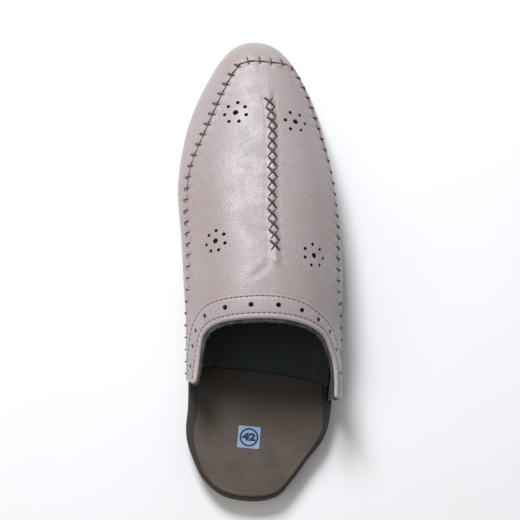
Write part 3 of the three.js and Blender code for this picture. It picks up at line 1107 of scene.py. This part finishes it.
def lacing_relief(points):
    across, at, beyond = along_lacing(points)
    side = np.abs(across)
    here = 1 - smooth(beyond / 3.5)
    cross = beat(at, LACE_PITCH, LACE_FIRST)
    ridge = LACE_RIDGE * bell(side, 2.1) * (1 - 0.35 * cross)
    valley = -0.15 * bell(side - 3.5, 1.1)
    hole = -0.35 * (1 - cross) ** 4 * bell(side - LACE_WIDTH / 2, 0.8)
    pull = -0.14 * (1 - cross) ** 2 * np.exp(-np.clip(side - 3, 0, None) / 3.5)
    pull *= smooth((side - 2) / 1.5)
    tent = 0.9 * np.exp(-side / 11) * (1 - smooth(beyond / 24))  # the skin lifts on both sides
    return (ridge + valley + hole + pull) * here + tent


def crease_relief(points):
    relief = np.zeros(points.shape[:-1])
    for a1, t1, a2, t2, depth, width in CREASES:
        start, end = form(row_at(np.array([a1, a2])), np.array([t1, t2]))
        run_on = end - start
        f = np.clip(((points - start) @ run_on) / (run_on @ run_on), 0, 1)
        away = np.linalg.norm(points - start - f[..., None] * run_on, axis=-1)
        taper = np.sin(np.pi * np.clip(f, 0.02, 0.98)) ** 0.7
        shoulder = 0.45 * bell(away - 2 * width, width)
        relief -= depth * taper * (bell(away, width) - shoulder)
    return relief


def vamp_relief(points, from_seam, at):
    """Height over the last in mm; from_seam is below 0 on the vamp."""
    inside = -from_seam
    gather = beat(at, BAR_PITCH, FIRST_BAR)
    roll = 0.42 * bell(inside - 1.6, 1.7)
    fold = np.exp(-inside / 3.2)
    gathers = (0.24 * (1 - gather) - 0.42 * gather**3) * fold * smooth(inside / 0.8)
    wave = np.sin(points[..., 1] / 13 + points[..., 0] / 17) * np.sin(points[..., 0] / 11 - 0.6)
    free = smooth((points[..., 1] - 112) / 12)  # the band holds the leather behind this
    broad = (0.16 * wave + crease_relief(points)) * (0.25 + 0.75 * free)
    return (roll + gathers) * smooth(inside / 0.5) + lacing_relief(points) + broad


VAMP = 1.0  # thickness
relief = vamp_relief(vamp_base, np.minimum(vamp_seam, 0), vamp_beat)
rounding = round_off(vamp_edge, VAMP / 2)
lifts = relief - rounding, relief - VAMP + rounding
CUT_COLUMNS = 4  # the outermost 0.75 mm beside each side seam shows the cut edge of the hide
vamp_points, vamp_faces = two_sided(*(lifted(vamp_t, vamp_turn, lift) for lift in lifts))
vamp_tags = np.zeros(len(vamp_faces), int)
top_shape = vamp_t.shape[0] - 1, vamp_t.shape[1] - 1
top_tags = vamp_tags[: top_shape[0] * top_shape[1]].reshape(top_shape)
top_tags[:, :CUT_COLUMNS] = top_tags[:, -CUT_COLUMNS:] = 1
vamp = solid("vamp", vamp_points, vamp_faces, [upper_leather, cut_edge], vamp_tags)
tag_cut_ends(vamp)
print("vamp relief from", round(float(relief.min()), 2), "to", round(float(relief.max()), 2), "mm")

# %% [markdown]
# ## The lining
#
# A suede lining fills the inside from the mouth to the toe. Where it ends at the mouth it isn't
# turned under: its raw edge looks out below the band by more than a millimetre, frayed and
# slightly uneven. The unevenness comes from a seeded generator, so it is the same on every run.

# %% Suede lining
rng = np.random.default_rng(42)
LINING_ROWS, LINING_COLUMNS = 100, 320
LINING_OUTSIDE, LINING_INSIDE = -1.72, -2.6  # lifts of its two faces
RAW_EDGE = 1.75  # how far it looks out of the mouth
RAW_START, RAW_END, RAW_EASE = 0.27, 1.73, 0.06  # turns between which it does
all_mouth = Line(mouth_rows)
at = np.linspace(0.05, all_mouth.length - 0.05, LINING_COLUMNS)
mouth_places, mouth_axes = run(all_mouth, at)


def looks_out(turn):
    """1 where the raw edge looks out, 0 at the ends of the side walls."""
    return smooth((turn - RAW_START) / RAW_EASE) * smooth((RAW_END - turn) / RAW_EASE)


showing = looks_out(mouth_places[:, 1])
uneven = 0.3 * rng.standard_normal(LINING_COLUMNS) * (0.3 + 0.7 * showing)
ragged = RAW_EDGE * showing + 0.1 + uneven
edge_rows = [moved(mouth_places, -mouth_axes[1], ragged * part) for part in (1.0, 0.72, 0.36)]
shares = np.linspace(1, 0, LINING_ROWS) ** 0.9
inner_t = row_at(mouth_places[:, 0])[None] * shares[:, None]
lining_t = np.vstack([*[row_at(rows[:, 0]) for rows in edge_rows], inner_t])
lining_turn = np.vstack([rows[:, 1] for rows in edge_rows] + [mouth_places[:, 1]] * LINING_ROWS)
flare = np.zeros(lining_t.shape)
flare[:3] = np.array([0.5, 0.35, 0.15])[:, None] * showing
flare[0] += 0.16 * rng.standard_normal(LINING_COLUMNS)
outer_lift = LINING_OUTSIDE + flare
inner_lift = LINING_INSIDE + flare * 0.6
inner_lift[0] += 0.2
outer_lift[0] -= 0.2
lifts = outer_lift, inner_lift
lining_points, lining_faces = two_sided(*(lifted(lining_t, lining_turn, lift) for lift in lifts))
# painted shade: the side under the vamp and band is dark so that the punched holes look deep
backing = suede("backing", srgb(34, 36, 38), srgb(50, 52, 54), srgb(24, 26, 28))
raw_edge = suede("raw_edge", srgb(108, 108, 106), srgb(206, 204, 196), srgb(46, 52, 58))
BACK, RAW = 1, 2  # looks of the covered side, painted as the holes' shade, and of the raw edge
row_faces = LINING_COLUMNS - 1
face_count = (len(lining_t) - 1) * row_faces  # faces of one side of the lining
tags = np.zeros(len(lining_faces), int)
tags[:face_count] = BACK
for start, end in ((0, 4 * row_faces), (face_count, face_count + 2 * row_faces)):
    tags[start:end] = RAW
tags[2 * face_count:] = RAW
lining = solid("lining", lining_points, lining_faces, [lining_suede, backing, raw_edge], tags)

# %% Turned-in margin on the floor
# The upper is turned in and cemented round the board, which leaves a low step inside the walls.
MARGIN_ROWS = 170
MARGIN_END = 268  # distance from the heel end
MARGIN, MARGIN_WIDTH = 0.55, 9.5  # thickness, and width across
WALL_BASE = 3.4  # the wall's inner face stands this far inside the sole's edge


def margin_strip(name, side, start):
    along = np.linspace(start, MARGIN_END, MARGIN_ROWS)
    edge = side * (section(row_at(along))[1 if side < 0 else 2] - WALL_BASE)
    width = (MARGIN_WIDTH + 0.5 * np.sin(along / 12)) * smooth((286 - along) / 30) + 0.5
    f = eased(14, 9.0)
    x = edge[:, None] - side * width[:, None] * f[None]
    y = np.broadcast_to(along[:, None], x.shape)
    inner = (1 - f)[None] * width[:, None]
    ends = np.minimum(y - start, MARGIN_END - y)
    drop = round_off(np.minimum(inner, ends), MARGIN)
    base = wall_foot(y) + BOARD
    top, low = np.dstack([x, y, base + MARGIN - drop]), np.dstack([x, y, base - 0.02])
    return solid(name, *two_sided(top, low), floor_suede)


margin_in = margin_strip("margin_in", -1, 79.0)
margin_out = margin_strip("margin_out", 1, 69.0)

# %% [markdown]
# ## The band round the mouth
#
# A strip of the same leather is stitched over the mouth and rolled round its edge; its rounded rim
# has a painted highlight. One closed cross-section is drawn and swept along the mouth: a round
# front edge, two shallow channels for the stitches, a faint crown between them, and the roll.

# %% Band
BAND_COLUMNS = 460
RIM_RINGS = (22, 30)  # the part of the section that is the rolled rim, with a painted highlight
# share of the width, extra mm, lift in mm
BAND_SECTION = [
    (0, 0.0, 0.5), (0, 0.06, 0.7), (0, 0.2, 0.86), (0, 0.45, 0.95), (0, 0.85, 0.98), (0, 1.2, 0.95),
    (0, 1.45, 0.8), (0, 1.65, 0.68), (0, 1.85, 0.8), (0, 2.15, 0.97), (0.22, 0, 1.05),
    (0.34, 0, 1.08), (0.46, 0, 1.1), (0.58, 0, 1.09), (0.7, 0, 1.05), (1, -2.8, 1.0),
    (1, -2.55, 0.96), (1, -2.3, 0.8), (1, -2.1, 0.68), (1, -1.9, 0.8), (1, -1.6, 0.97),
    (1, -1.1, 1.05), (1, -0.6, 1.05), (1, -0.15, 0.96), (1, 0.25, 0.76), (1, 0.58, 0.46),
    (1, 0.8, 0.08), (1, 0.88, -0.35), (1, 0.86, -0.8), (1, 0.7, -1.15), (1, 0.45, -1.2),
    (1, 0.3, -0.9), (1, 0.24, -0.3), (1, 0.05, 0.1), (1, -0.5, 0.18), (0.5, 0, 0.18),
    (0, 1.65, 0.14), (0, 0.45, 0.1), (0, 0.12, 0.25),
]


def band_places(count):
    """The band's front edge and mouth edge, row by row, at even steps along the mouth."""
    last = len(band_rows) - 1
    j = np.linspace(0, last, 3000)
    edge, front = through(mouth_rows, j + MOUTH_CORNER), through(band_rows, j)
    length = length_to(place((edge + front) / 2))
    even = np.interp(np.linspace(0, length[-1], count), length, j)
    return through(band_rows, even), through(mouth_rows, even + MOUTH_CORNER), length[-1]


band_front, band_mouth, band_length = band_places(BAND_COLUMNS)
band_width = np.linalg.norm(place(band_mouth) - place(band_front), axis=1)


def on_band(share, extra=0.0):
    """Rows at a share of the band's width and some mm more, from its front edge."""
    f = (share + extra / band_width)[:, None]
    return band_front + (band_mouth - band_front) * f


rings = np.array([place(on_band(part, extra), lift) for part, extra, lift in BAND_SECTION])
band_ids = numbered(rings)
band_faces = quads(np.vstack([band_ids, band_ids[:1]])).tolist()
band_faces += [band_ids[:, 0].tolist(), band_ids[::-1, -1].tolist()]
RIM, CUT = 1, 2  # numbers of the looks of the rim with its painted highlight and of the cut ends
band_tags = np.zeros((len(rings), BAND_COLUMNS - 1), int)
band_tags[slice(*RIM_RINGS)] = RIM
band_tags[:, :2] = band_tags[:, -2:] = CUT
band_tags = np.append(band_tags, [CUT, CUT])
looks = [band_leather, rim_highlight_leather, cut_edge]
mouth_band = solid("mouth_band", rings.reshape(-1, 3), band_faces, looks, band_tags)
print("band", round(band_length), "mm long,", round(float(band_width.mean()), 1), "mm wide")

# %% [markdown]
# ## Holes punched with Geometry Nodes
#
# Four rosettes decorate the vamp and a row of single holes the band. They are real holes: a punch
# is placed on a point for each of them, all the punches are realized, and a Boolean takes them
# out of the leather. The punch widens at the top, because the tool presses the rim down a little
# before it cuts, and that small slope is what catches the light.


# %% A builder for geometry trees
class Tree:
    """A geometry tree with named inputs (name, type, start value); its methods return sockets."""

    def __init__(self, name, sockets):
        self.tree = bpy.data.node_groups.new(name, "GeometryNodeTree")
        new_socket = self.tree.interface.new_socket
        for way in ("INPUT", "OUTPUT"):
            new_socket("Geometry", in_out=way, socket_type="NodeSocketGeometry")
        for label, kind, start in sockets:
            socket = new_socket(label, in_out="INPUT", socket_type="NodeSocket" + kind)
            if start is not None:
                socket.default_value = start
        self.given = self.tree.nodes.new("NodeGroupInput").outputs

    def node(self, kind, inputs=(), output=0, **settings):
        return add_node(self.tree, kind, settings, inputs).outputs[output]

    def shape(self, kind, inputs=(), output=0, **settings):
        return self.node("GeometryNode" + kind, inputs, output, **settings)

    def math(self, operation, *values):
        return self.node("ShaderNodeMath", dict(enumerate(values)), operation=operation)

    def vector(self, **parts):
        return self.node("ShaderNodeCombineXYZ", parts)

    def named(self, key, kind="FLOAT"):
        return self.shape("InputNamedAttribute", {"Name": key}, data_type=kind)

    def upright(self, key):
        """The rotation that turns Z to a vector kept on the points."""
        towards = {"Vector": self.named(key, "FLOAT_VECTOR")}
        return self.node("FunctionNodeAlignRotationToVector", towards, axis="Z")

    def random(self, low, high):
        """A random number for each point, from the tree's input named Seed."""
        kind = "FunctionNodeRandomValue"
        node = add_node(self.tree, kind, {"data_type": "FLOAT"}, {"Seed": self.given["Seed"]})
        node.inputs[2].default_value, node.inputs[3].default_value = low, high
        return node.outputs[1]

    def copies(self, points, shape, rotation, scale):
        return self.shape("InstanceOnPoints", {
            "Points": points, "Instance": shape, "Rotation": rotation, "Scale": scale,
        })

    def close(self, geometry, material=None):
        """Realize Instances and Set Material end a tree; one that only cuts paints nothing."""
        geometry = self.shape("RealizeInstances", {"Geometry": geometry})
        if material is not None:
            geometry = self.shape("SetMaterial", {"Geometry": geometry, "Material": material})
        add_node(self.tree, "NodeGroupOutput", {}, {0: geometry})
        return self.tree


def settled(piece):
    """The object's mesh as it looks after all that acts on it."""
    bpy.context.view_layer.update()
    evaluated = piece.evaluated_get(bpy.context.evaluated_depsgraph_get())
    return bpy.data.meshes.new_from_object(evaluated)


def grow(piece, tree, values):
    """Runs a tree on an object and keeps the result as its plain mesh."""
    modifier = piece.modifiers.new(tree.name, "NODES")
    modifier.node_group = tree
    for item in tree.interface.items_tree:
        if item.in_out == "INPUT" and item.name in values:
            modifier[item.identifier] = values[item.name]
    mesh = settled(piece)
    piece.modifiers.clear()
    name = piece.name
    print(f"{name}: {len(mesh.polygons)} faces grown by {tree.name}")
    if piece.type == "MESH":
        old, piece.data = piece.data, mesh
        bpy.data.meshes.remove(old)
        return piece
    bpy.data.objects.remove(piece)
    return put(name, mesh)


def marks(name, points, **attributes):
    """An object with a point for each instance, and named values on the points."""
    mesh = bpy.data.meshes.new(name)
    mesh.from_pydata(metres(points).tolist(), [], [])
    for key, values in attributes.items():
        values = np.asarray(values, np.float32)
        kind, field = ("FLOAT_VECTOR", "vector") if values.ndim == 2 else ("FLOAT", "value")
        layer = mesh.attributes.new(key, kind, "POINT")
        layer.data.foreach_set(field, values.ravel())
    return put(name, mesh)


# %% The punch tree
def punch_tree():
    tree = Tree("punch_holes", [
        ("Places", "Object", None), ("Flare", "Float", 0.4), ("Depth", "Float", 0.003),
        ("Sides", "Int", 24),
    ])
    given = tree.given
    points = tree.shape("ObjectInfo", {"Object": given["Places"]}, "Geometry")
    turned, radius = tree.upright("up"), tree.named("radius")
    scale = tree.vector(X=radius, Y=radius, Z=1.0)
    round_tool = {"Vertices": given["Sides"], "Radius": 1.0, "Depth": given["Depth"]}
    straight = tree.shape("MeshCylinder", round_tool, fill_type="NGON")
    wide = tree.math("ADD", given["Flare"], 1.0)
    slope = tree.shape("MeshCone", {
        "Vertices": given["Sides"], "Radius Top": wide, "Radius Bottom": 0.9, "Depth": 0.0013,
    }, fill_type="NGON")
    raised = tree.shape("Transform", {"Geometry": slope, "Translation": (0, 0, -0.0004)})
    body = given["Geometry"]
    for tool in (straight, raised):
        cutter = tree.copies(points, tool, turned, scale)
        cutter = tree.shape("RealizeInstances", {"Geometry": cutter})
        parts = {"Mesh 1": body, "Mesh 2": cutter}
        body = tree.shape("MeshBoolean", parts, operation="DIFFERENCE", solver="MANIFOLD")
    return tree.close(body)


punches = punch_tree()


def punch(piece, rows, radii, lift, values):
    up = outward(row_at(rows[:, 0]), rows[:, 1])
    places = marks(piece.name + "_holes", place(rows, lift), up=up, radius=np.array(radii) / 1000)
    before = len(piece.data.polygons)
    piece = grow(piece, punches, {"Places": places, **values})
    bpy.data.objects.remove(places)
    piece.data.polygons.foreach_set("use_smooth", [True] * len(piece.data.polygons))
    piece.data.set_sharp_from_angle(angle=math.radians(38))
    print(piece.name, "had", before, "faces and has", len(piece.data.polygons))
    return piece


# %% Rosettes in the vamp
# distance, turn, holes in the ring, angle of the first hole in degrees, ring radius in mm
ROSETTES = [
    (234, 0.747, 7, 6, 7.0), (228, 1.27, 6, -27, 6.6), (148.6, 0.628, 7, 2, 6.6),
    (139.6, 1.344, 7, -6, 6.8),
]
CENTRE_HOLE, RING_HOLE = 1.7, 1.12
rosette_rows, rosette_radii = [], []
for along, turn, count, first, reach in ROSETTES:
    centre = np.array([[along, turn]])
    ahead, left, _ = frame_on(centre, np.array([[0.0, 1.0, 0.0]]))
    rosette_rows.append(centre)
    rosette_radii.append(CENTRE_HOLE)
    for k in range(count):
        angle = math.radians(first + 360 * k / count + 2.5 * math.sin(5 * k + along))
        direction = math.cos(angle) * ahead - math.sin(angle) * left
        rosette_rows.append(moved(centre, direction, reach + 0.25 * math.sin(3 * k + turn)))
        rosette_radii.append(RING_HOLE)
rosette_rows = np.concatenate(rosette_rows)
vamp = punch(vamp, rosette_rows, rosette_radii, 0.1, {"Flare": 0.34})

# %% Single holes in the band
BAND_HOLES = [
    (75, 0.255), (87.4, 0.262), (97.4, 0.304), (105.9, 0.461), (107, 0.691), (107.1, 0.895),
    (105.8, 1.042), (103, 1.224), (100.4, 1.406), (94.9, 1.562), (84.5, 1.653), (71, 1.7),
]
middle, hole_line = on_band(0.5), on_band(0.48)
closest = []
for spot in BAND_HOLES:
    gap = np.linalg.norm(place(middle) - place(np.array(spot)), axis=1)
    closest.append(gap.argmin())
band_hole_rows = hole_line[closest]
hole_sizes = [1.5] * len(BAND_HOLES)
mouth_band = punch(mouth_band, band_hole_rows, hole_sizes, 0.95, {"Flare": 0.3})
vamp = punch(vamp, band_hole_rows, hole_sizes, 0.3, {"Flare": 0.0})

# %% [markdown]
# ## Stitches with Geometry Nodes
#
# All the visible sewing is waxed brown thread. A stitch is a short piece of two-ply cord that
# comes up through one hole, crosses the leather and goes down through another. One tree makes
# the stitch once, as a bent cord with a twisted section, and sets it on every point, turned to
# the point's own directions. The running thread along the seam uses a second tree, which lays
# the same cord along a path.


# %% Cord, stitch tree and path tree
def cord(tree, curve):
    """The curve swept with the section of a two-ply thread that turns steadily along it."""
    radius = tree.given["Radius"]
    section_of_thread = tree.shape("CurveStar", {
        "Points": 3, "Inner Radius": tree.math("MULTIPLY", radius, 0.78),
        "Outer Radius": radius, "Twist": 0.0,
    })
    tilt = tree.math("MULTIPLY", tree.shape("SplineParameter", {}, "Length"), tree.given["Turns"])
    twisted = tree.shape("SetCurveTilt", {"Curve": curve, "Tilt": tilt})
    parts = {"Curve": twisted, "Profile Curve": section_of_thread, "Fill Caps": True}
    return tree.shape("SetShadeSmooth", {"Geometry": tree.shape("CurveToMesh", parts)})


def stitch_tree():
    tree = Tree("stitches", [
        ("Length", "Float", 0.0055), ("Radius", "Float", 0.0004), ("Arch", "Float", 0.001),
        ("Dip", "Float", 0.0006), ("Segments", "Int", 8), ("Turns", "Float", 2200.0),
        ("Unevenness", "Float", 0.06), ("Seed", "Int", 7), ("Thread", "Material", None),
    ])
    given = tree.given
    half = tree.math("MULTIPLY", given["Length"], 0.5)
    back, low = tree.math("MULTIPLY", half, -1.0), tree.math("MULTIPLY", given["Dip"], -1.0)
    # the curve's top lies half way to its middle handle, so the handle goes twice as high
    high = tree.math("MULTIPLY_ADD", given["Arch"], 2.0, given["Dip"])
    bend = tree.shape("CurveQuadraticBezier", {
        "Resolution": given["Segments"], "Start": tree.vector(X=back, Z=low),
        "Middle": tree.vector(Z=high), "End": tree.vector(X=half, Z=low),
    })
    axes = {0: tree.named("across", "FLOAT_VECTOR"), 1: tree.named("up", "FLOAT_VECTOR")}
    rotation = tree.node(
        "FunctionNodeAxesToRotation", axes, primary_axis="X", secondary_axis="Z"
    )
    stretch = tree.math("MULTIPLY_ADD", tree.random(-1.0, 1.0), given["Unevenness"], 1.0)
    long = tree.math("MULTIPLY", stretch, tree.named("size"))
    scale = tree.vector(X=long, Y=1.0, Z=stretch)
    placed = tree.copies(given["Geometry"], cord(tree, bend), rotation, scale)
    return tree.close(placed, given["Thread"])


def path_tree():
    tree = Tree("thread_on_a_path", [
        ("Radius", "Float", 0.0004), ("Turns", "Float", 1500.0), ("Step", "Float", 0.0005),
        ("Thread", "Material", None),
    ])
    path = {"Curve": tree.given["Geometry"], "Length": tree.given["Step"]}
    even = tree.shape("ResampleCurve", path, mode="LENGTH")
    return tree.close(cord(tree, even), tree.given["Thread"])


stitches, thread_path = stitch_tree(), path_tree()


def sew(name, starts, ends, up, length, **values):
    """Stitches from start points to end points, in mm; length is that of the model stitch."""
    across = ends - starts
    reach = np.linalg.norm(across, axis=1)
    across /= reach[:, None]
    spots = marks(name, (starts + ends) / 2, across=across, up=up, size=reach / length)
    return grow(spots, stitches, {"Length": length / 1000, "Thread": thread, **values})


# %% Bars over the apron seam
WALL_HOLE, VAMP_HOLE = 4.5, 1.9  # from the seam to the stitch holes
CORNER_ROOM = 1.2  # no bar stands nearer to a corner of the seam
bar_at = np.arange(FIRST_BAR, seam.length - 3, BAR_PITCH)
clear = np.minimum(np.abs(bar_at - INNER_CORNER), np.abs(bar_at - OUTER_CORNER))
bar_at = bar_at[clear > CORNER_ROOM]
bar_rows, bar_axes = run(seam, bar_at)
sway = 0.5 * np.sin(bar_at * 1.7)
slant = 0.14 * np.where(bar_at < INNER_CORNER, 1, -1)[:, None]
down = bar_axes[1] + slant * bar_axes[0]
wall_ends = moved(bar_rows, down, WALL_HOLE + 0.35 * sway)
vamp_ends = moved(bar_rows, -bar_axes[1], VAMP_HOLE)
seam_bars = sew(
    "seam_bars", place(wall_ends, -0.35), place(vamp_ends, 0.45), bar_axes[2], 6.4,
    Radius=0.0005, Arch=0.0007, Dip=0.00035, Segments=10, Seed=3,
)


# %% Running thread along the seam
def thread_curve(name, points):
    curve = bpy.data.curves.new(name, "CURVE")
    curve.dimensions = "3D"
    spline = curve.splines.new("POLY")
    spline.points.add(len(points) - 1)
    flat = np.column_stack([metres(points), np.ones(len(points))])
    spline.points.foreach_set("co", flat.ravel())
    return put(name, curve)


seam_at = np.linspace(1.0, seam.length - 1.0, 900)
thread_rows, thread_axes = run(seam, seam_at)
swing = 0.25 * np.sin(2 * np.pi * (seam_at - FIRST_BAR) / BAR_PITCH)
sink = 0.9 * smooth((200 - thread_rows[:, 0]) / 25)  # behind the ball it lies deep in the seam
path = place(moved(thread_rows, thread_axes[1], 0.42 + swing), -0.12 - sink)
values = {"Radius": 0.0006, "Thread": thread, "Turns": 1300.0}
seam_thread = grow(thread_curve("seam_thread", path), thread_path, values)

# %% Crossed lacing down the middle
lace_rows, lace_axes = run(lacing, LACE_FIRST + LACE_PITCH * np.arange(lace_count))
# the lacing line runs from the toe to the mouth, so its left is the outer side of the foot
half_wide, half_long = LACE_WIDTH / 2, LACE_PITCH / 2


def lace_strands(name, hand, radius, arch, seed):
    """One of the two crossing layers; hand is 1 or -1."""
    corners = []
    for sign in (-1, 1):
        direction = sign * (hand * half_wide * lace_axes[1] + half_long * lace_axes[0])
        reach = np.linalg.norm(direction, axis=1)
        corners.append(place(moved(lace_rows, direction / reach[:, None], 1.04 * reach), 0.45))
    return sew(
        name, *corners, lace_axes[2], 8.7,
        Radius=radius, Arch=arch, Dip=0.0006, Segments=14, Seed=seed, Unevenness=0.03,
    )


lacing_under = lace_strands("lacing_under", -1, 0.00062, 0.0011, 5)
lacing_over = lace_strands("lacing_over", 1, 0.00082, 0.0018, 9)

# %% Stitched lines in the band
STITCH_PITCH, STITCH_LENGTH = 3.1, 2.5
STITCH_LIFT = 0.78  # the channel's floor, where the thread's ends go in


def band_stitches(name, share, extra, seed):
    rows = on_band(share, extra)
    points = place(rows, STITCH_LIFT)
    length = length_to(points)
    at = np.arange(2.0, length[-1] - STITCH_LENGTH - 1, STITCH_PITCH)
    middle = read(at, length, rows)
    return sew(
        name, read(at, length, points), read(at + STITCH_LENGTH, length, points),
        outward(row_at(middle[:, 0]), middle[:, 1]), STITCH_LENGTH,
        Radius=0.00024, Arch=0.00022, Dip=0.0004, Segments=5, Seed=seed, Turns=3000.0,
    )


band_stitch_front = band_stitches("band_stitch_front", 0, 1.65, 11)
band_stitch_mouth = band_stitches("band_stitch_mouth", 1, -2.1, 12)

# %% [markdown]
# ## Frayed fibres
#
# The raw edge of the lining sheds short fibres. They are far too fine to model one by one by
# hand, but a tree can stand a tiny cone on each of a thousand points along the edge. Each cone
# has four sides, so the whole fringe stays light.


# %% Fringe on the lining's raw edge
def fringe_tree():
    tree = Tree("fringe", [
        ("Length", "Float", 0.0013), ("Radius", "Float", 0.00011), ("Seed", "Int", 21),
        ("Fibre", "Material", None),
    ])
    given = tree.given
    fibre = tree.shape("MeshCone", {
        "Vertices": 4, "Radius Top": 0.00002, "Radius Bottom": given["Radius"],
        "Depth": given["Length"],
    }, fill_type="NGON")
    size = tree.random(0.55, 1.25)
    placed = tree.copies(given["Geometry"], fibre, tree.upright("along"), size)
    return tree.close(placed, given["Fibre"])


FIBRES = 2600
fibre_at = np.sort(rng.uniform(12, all_mouth.length - 12, FIBRES))
fibre_rows, fibre_axes = run(all_mouth, fibre_at)
fibre_reach = RAW_EDGE * looks_out(fibre_rows[:, 1])
fibre_lift = rng.uniform(-2.3, -1.1, FIBRES)
fibre_points = place(moved(fibre_rows, -fibre_axes[1], fibre_reach + 0.1), fibre_lift)
fibre_way = unit(-fibre_axes[1] + rng.normal(0, 0.55, (FIBRES, 3)))
lining_fringe = grow(
    marks("lining_fringe", fibre_points, along=fibre_way), fringe_tree(), {"Fibre": raw_edge}
)

# %% [markdown]
# ## The size label
#
# A square of pale paper sits on the sock with the size in a printed ring. The ring is a thin
# flat band and the number is text turned into a mesh, both laid a few hundredths of a
# millimetre over the paper.

# %% Paper, ring and number
LABEL_CENTRE = np.array([-2.6, 36.9])
LABEL_SIDE = 13.3
LABEL_TURN = math.radians(-5)
cosine, sine = math.cos(LABEL_TURN), math.sin(LABEL_TURN)
turn_by = np.array([[cosine, sine], [-sine, cosine]])
PAPER_LIFT, INK_LIFT = 0.16, 0.19  # over the sock


def on_sock(flat, lift):
    """Plane points on the label, in mm, laid on the sock at a height over it."""
    spots = flat @ turn_by + LABEL_CENTRE
    curl = 0.35 * smooth((flat[..., 0] - flat[..., 1] - 10.2) / 3.2)  # one corner comes up
    return np.dstack([spots, wall_foot(spots[..., 1]) + SOCK_TOP + swell(spots) + curl + lift])


f = (eased(24, LABEL_SIDE, (0, 0.03, 0.1)) - 0.5) * LABEL_SIDE
paper_plan = np.dstack(np.meshgrid(f, f, indexing="ij"))
paper_skins = two_sided(on_sock(paper_plan, PAPER_LIFT), on_sock(paper_plan, 0.02))
label = solid("size_label", *paper_skins, paper)
angles = np.linspace(0, 2 * np.pi, 73)[:-1]
# radius and lift round the section of the printed ring
ring_section = [(4.6, 0.15), (4.6, 0.18), (4.75, 0.2), (5.45, 0.2), (5.6, 0.18), (5.6, 0.15)]
way_round = np.column_stack([np.cos(angles), np.sin(angles)])[None]
ring_points = np.vstack([on_sock(radius * way_round, lift) for radius, lift in ring_section])
ring_ids = numbered(ring_points)
ring_ids = np.vstack([ring_ids, ring_ids[:1]])
ring_faces = quads(np.column_stack([ring_ids, ring_ids[:, :1]]))
label_ring = solid("label_ring", ring_points.reshape(-1, 3), ring_faces, ink)


def number_mesh(name, words, height):
    text = bpy.data.curves.new(name, "FONT")
    text.body = words
    text.size = height * 1.38
    text.offset = height * 0.085
    text.extrude = 0.03
    text.align_x, text.align_y = "CENTER", "CENTER"
    source = put(name + "_text", text)
    mesh = settled(source)
    bpy.data.objects.remove(source)
    points = fetched(mesh.vertices, "co")
    points[:, 0] *= 1.3  # wider than the font's own figures
    laid = on_sock(points[None, :, :2], INK_LIFT)[0]
    laid[:, 2] += points[:, 2] * 0.6
    mesh.vertices.foreach_set("co", metres(laid).ravel())
    mesh.materials.clear()
    mesh.materials.append(ink)
    print(name, np.round(points.max(0) - points.min(0), 2), "mm")
    return put(name, mesh)


label_number = number_mesh("label_number", "42", 4.3)

# %% [markdown]
# ## Placing everything in the frame
#
# A slipper has no joints, so every piece rides on the one body. Each piece names the imported part
# that it stands for and the slot of its finish.

# %% Bodies, parts and slots
PARTS = [
    ("outsole", "sole_rubber", [sole_unit]),
    ("insole", "sock_leather", [insole_board, heel_sock]),
    ("insole", "label_paper", [label]),
    ("insole", "label_ink", [label_ring, label_number]),
    ("upper", "upper_leather", [side_wall, vamp]),
    ("upper", "lining_leather", [lining, lining_fringe, margin_in, margin_out]),
    ("upper", "thread", [seam_bars, seam_thread, lacing_under, lacing_over]),
    ("collar_band", "band_leather", [mouth_band]),
    ("collar_band", "thread", [band_stitch_front, band_stitch_mouth]),
]
for node, slot, pieces in PARTS:
    for piece in pieces:
        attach(piece, "root")
        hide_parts(node)
meshes = [piece.data for _, _, pieces in PARTS for piece in pieces]
print("triangles in all:", sum(len(m.loops) - 2 * len(m.polygons) for m in meshes))

# %% Floor finish
f = Finish("floor_paper")
mottle = f.noise(6, 3, 0.5)
tone = f.blend(f.between(mottle, 0.3, 0.7), srgb(248, 245, 240), srgb(251, 248, 244))
floor_mesh.materials.append(f.surface(tone, 0.8, f.noise(900, 2, 0.5), 0.00004))
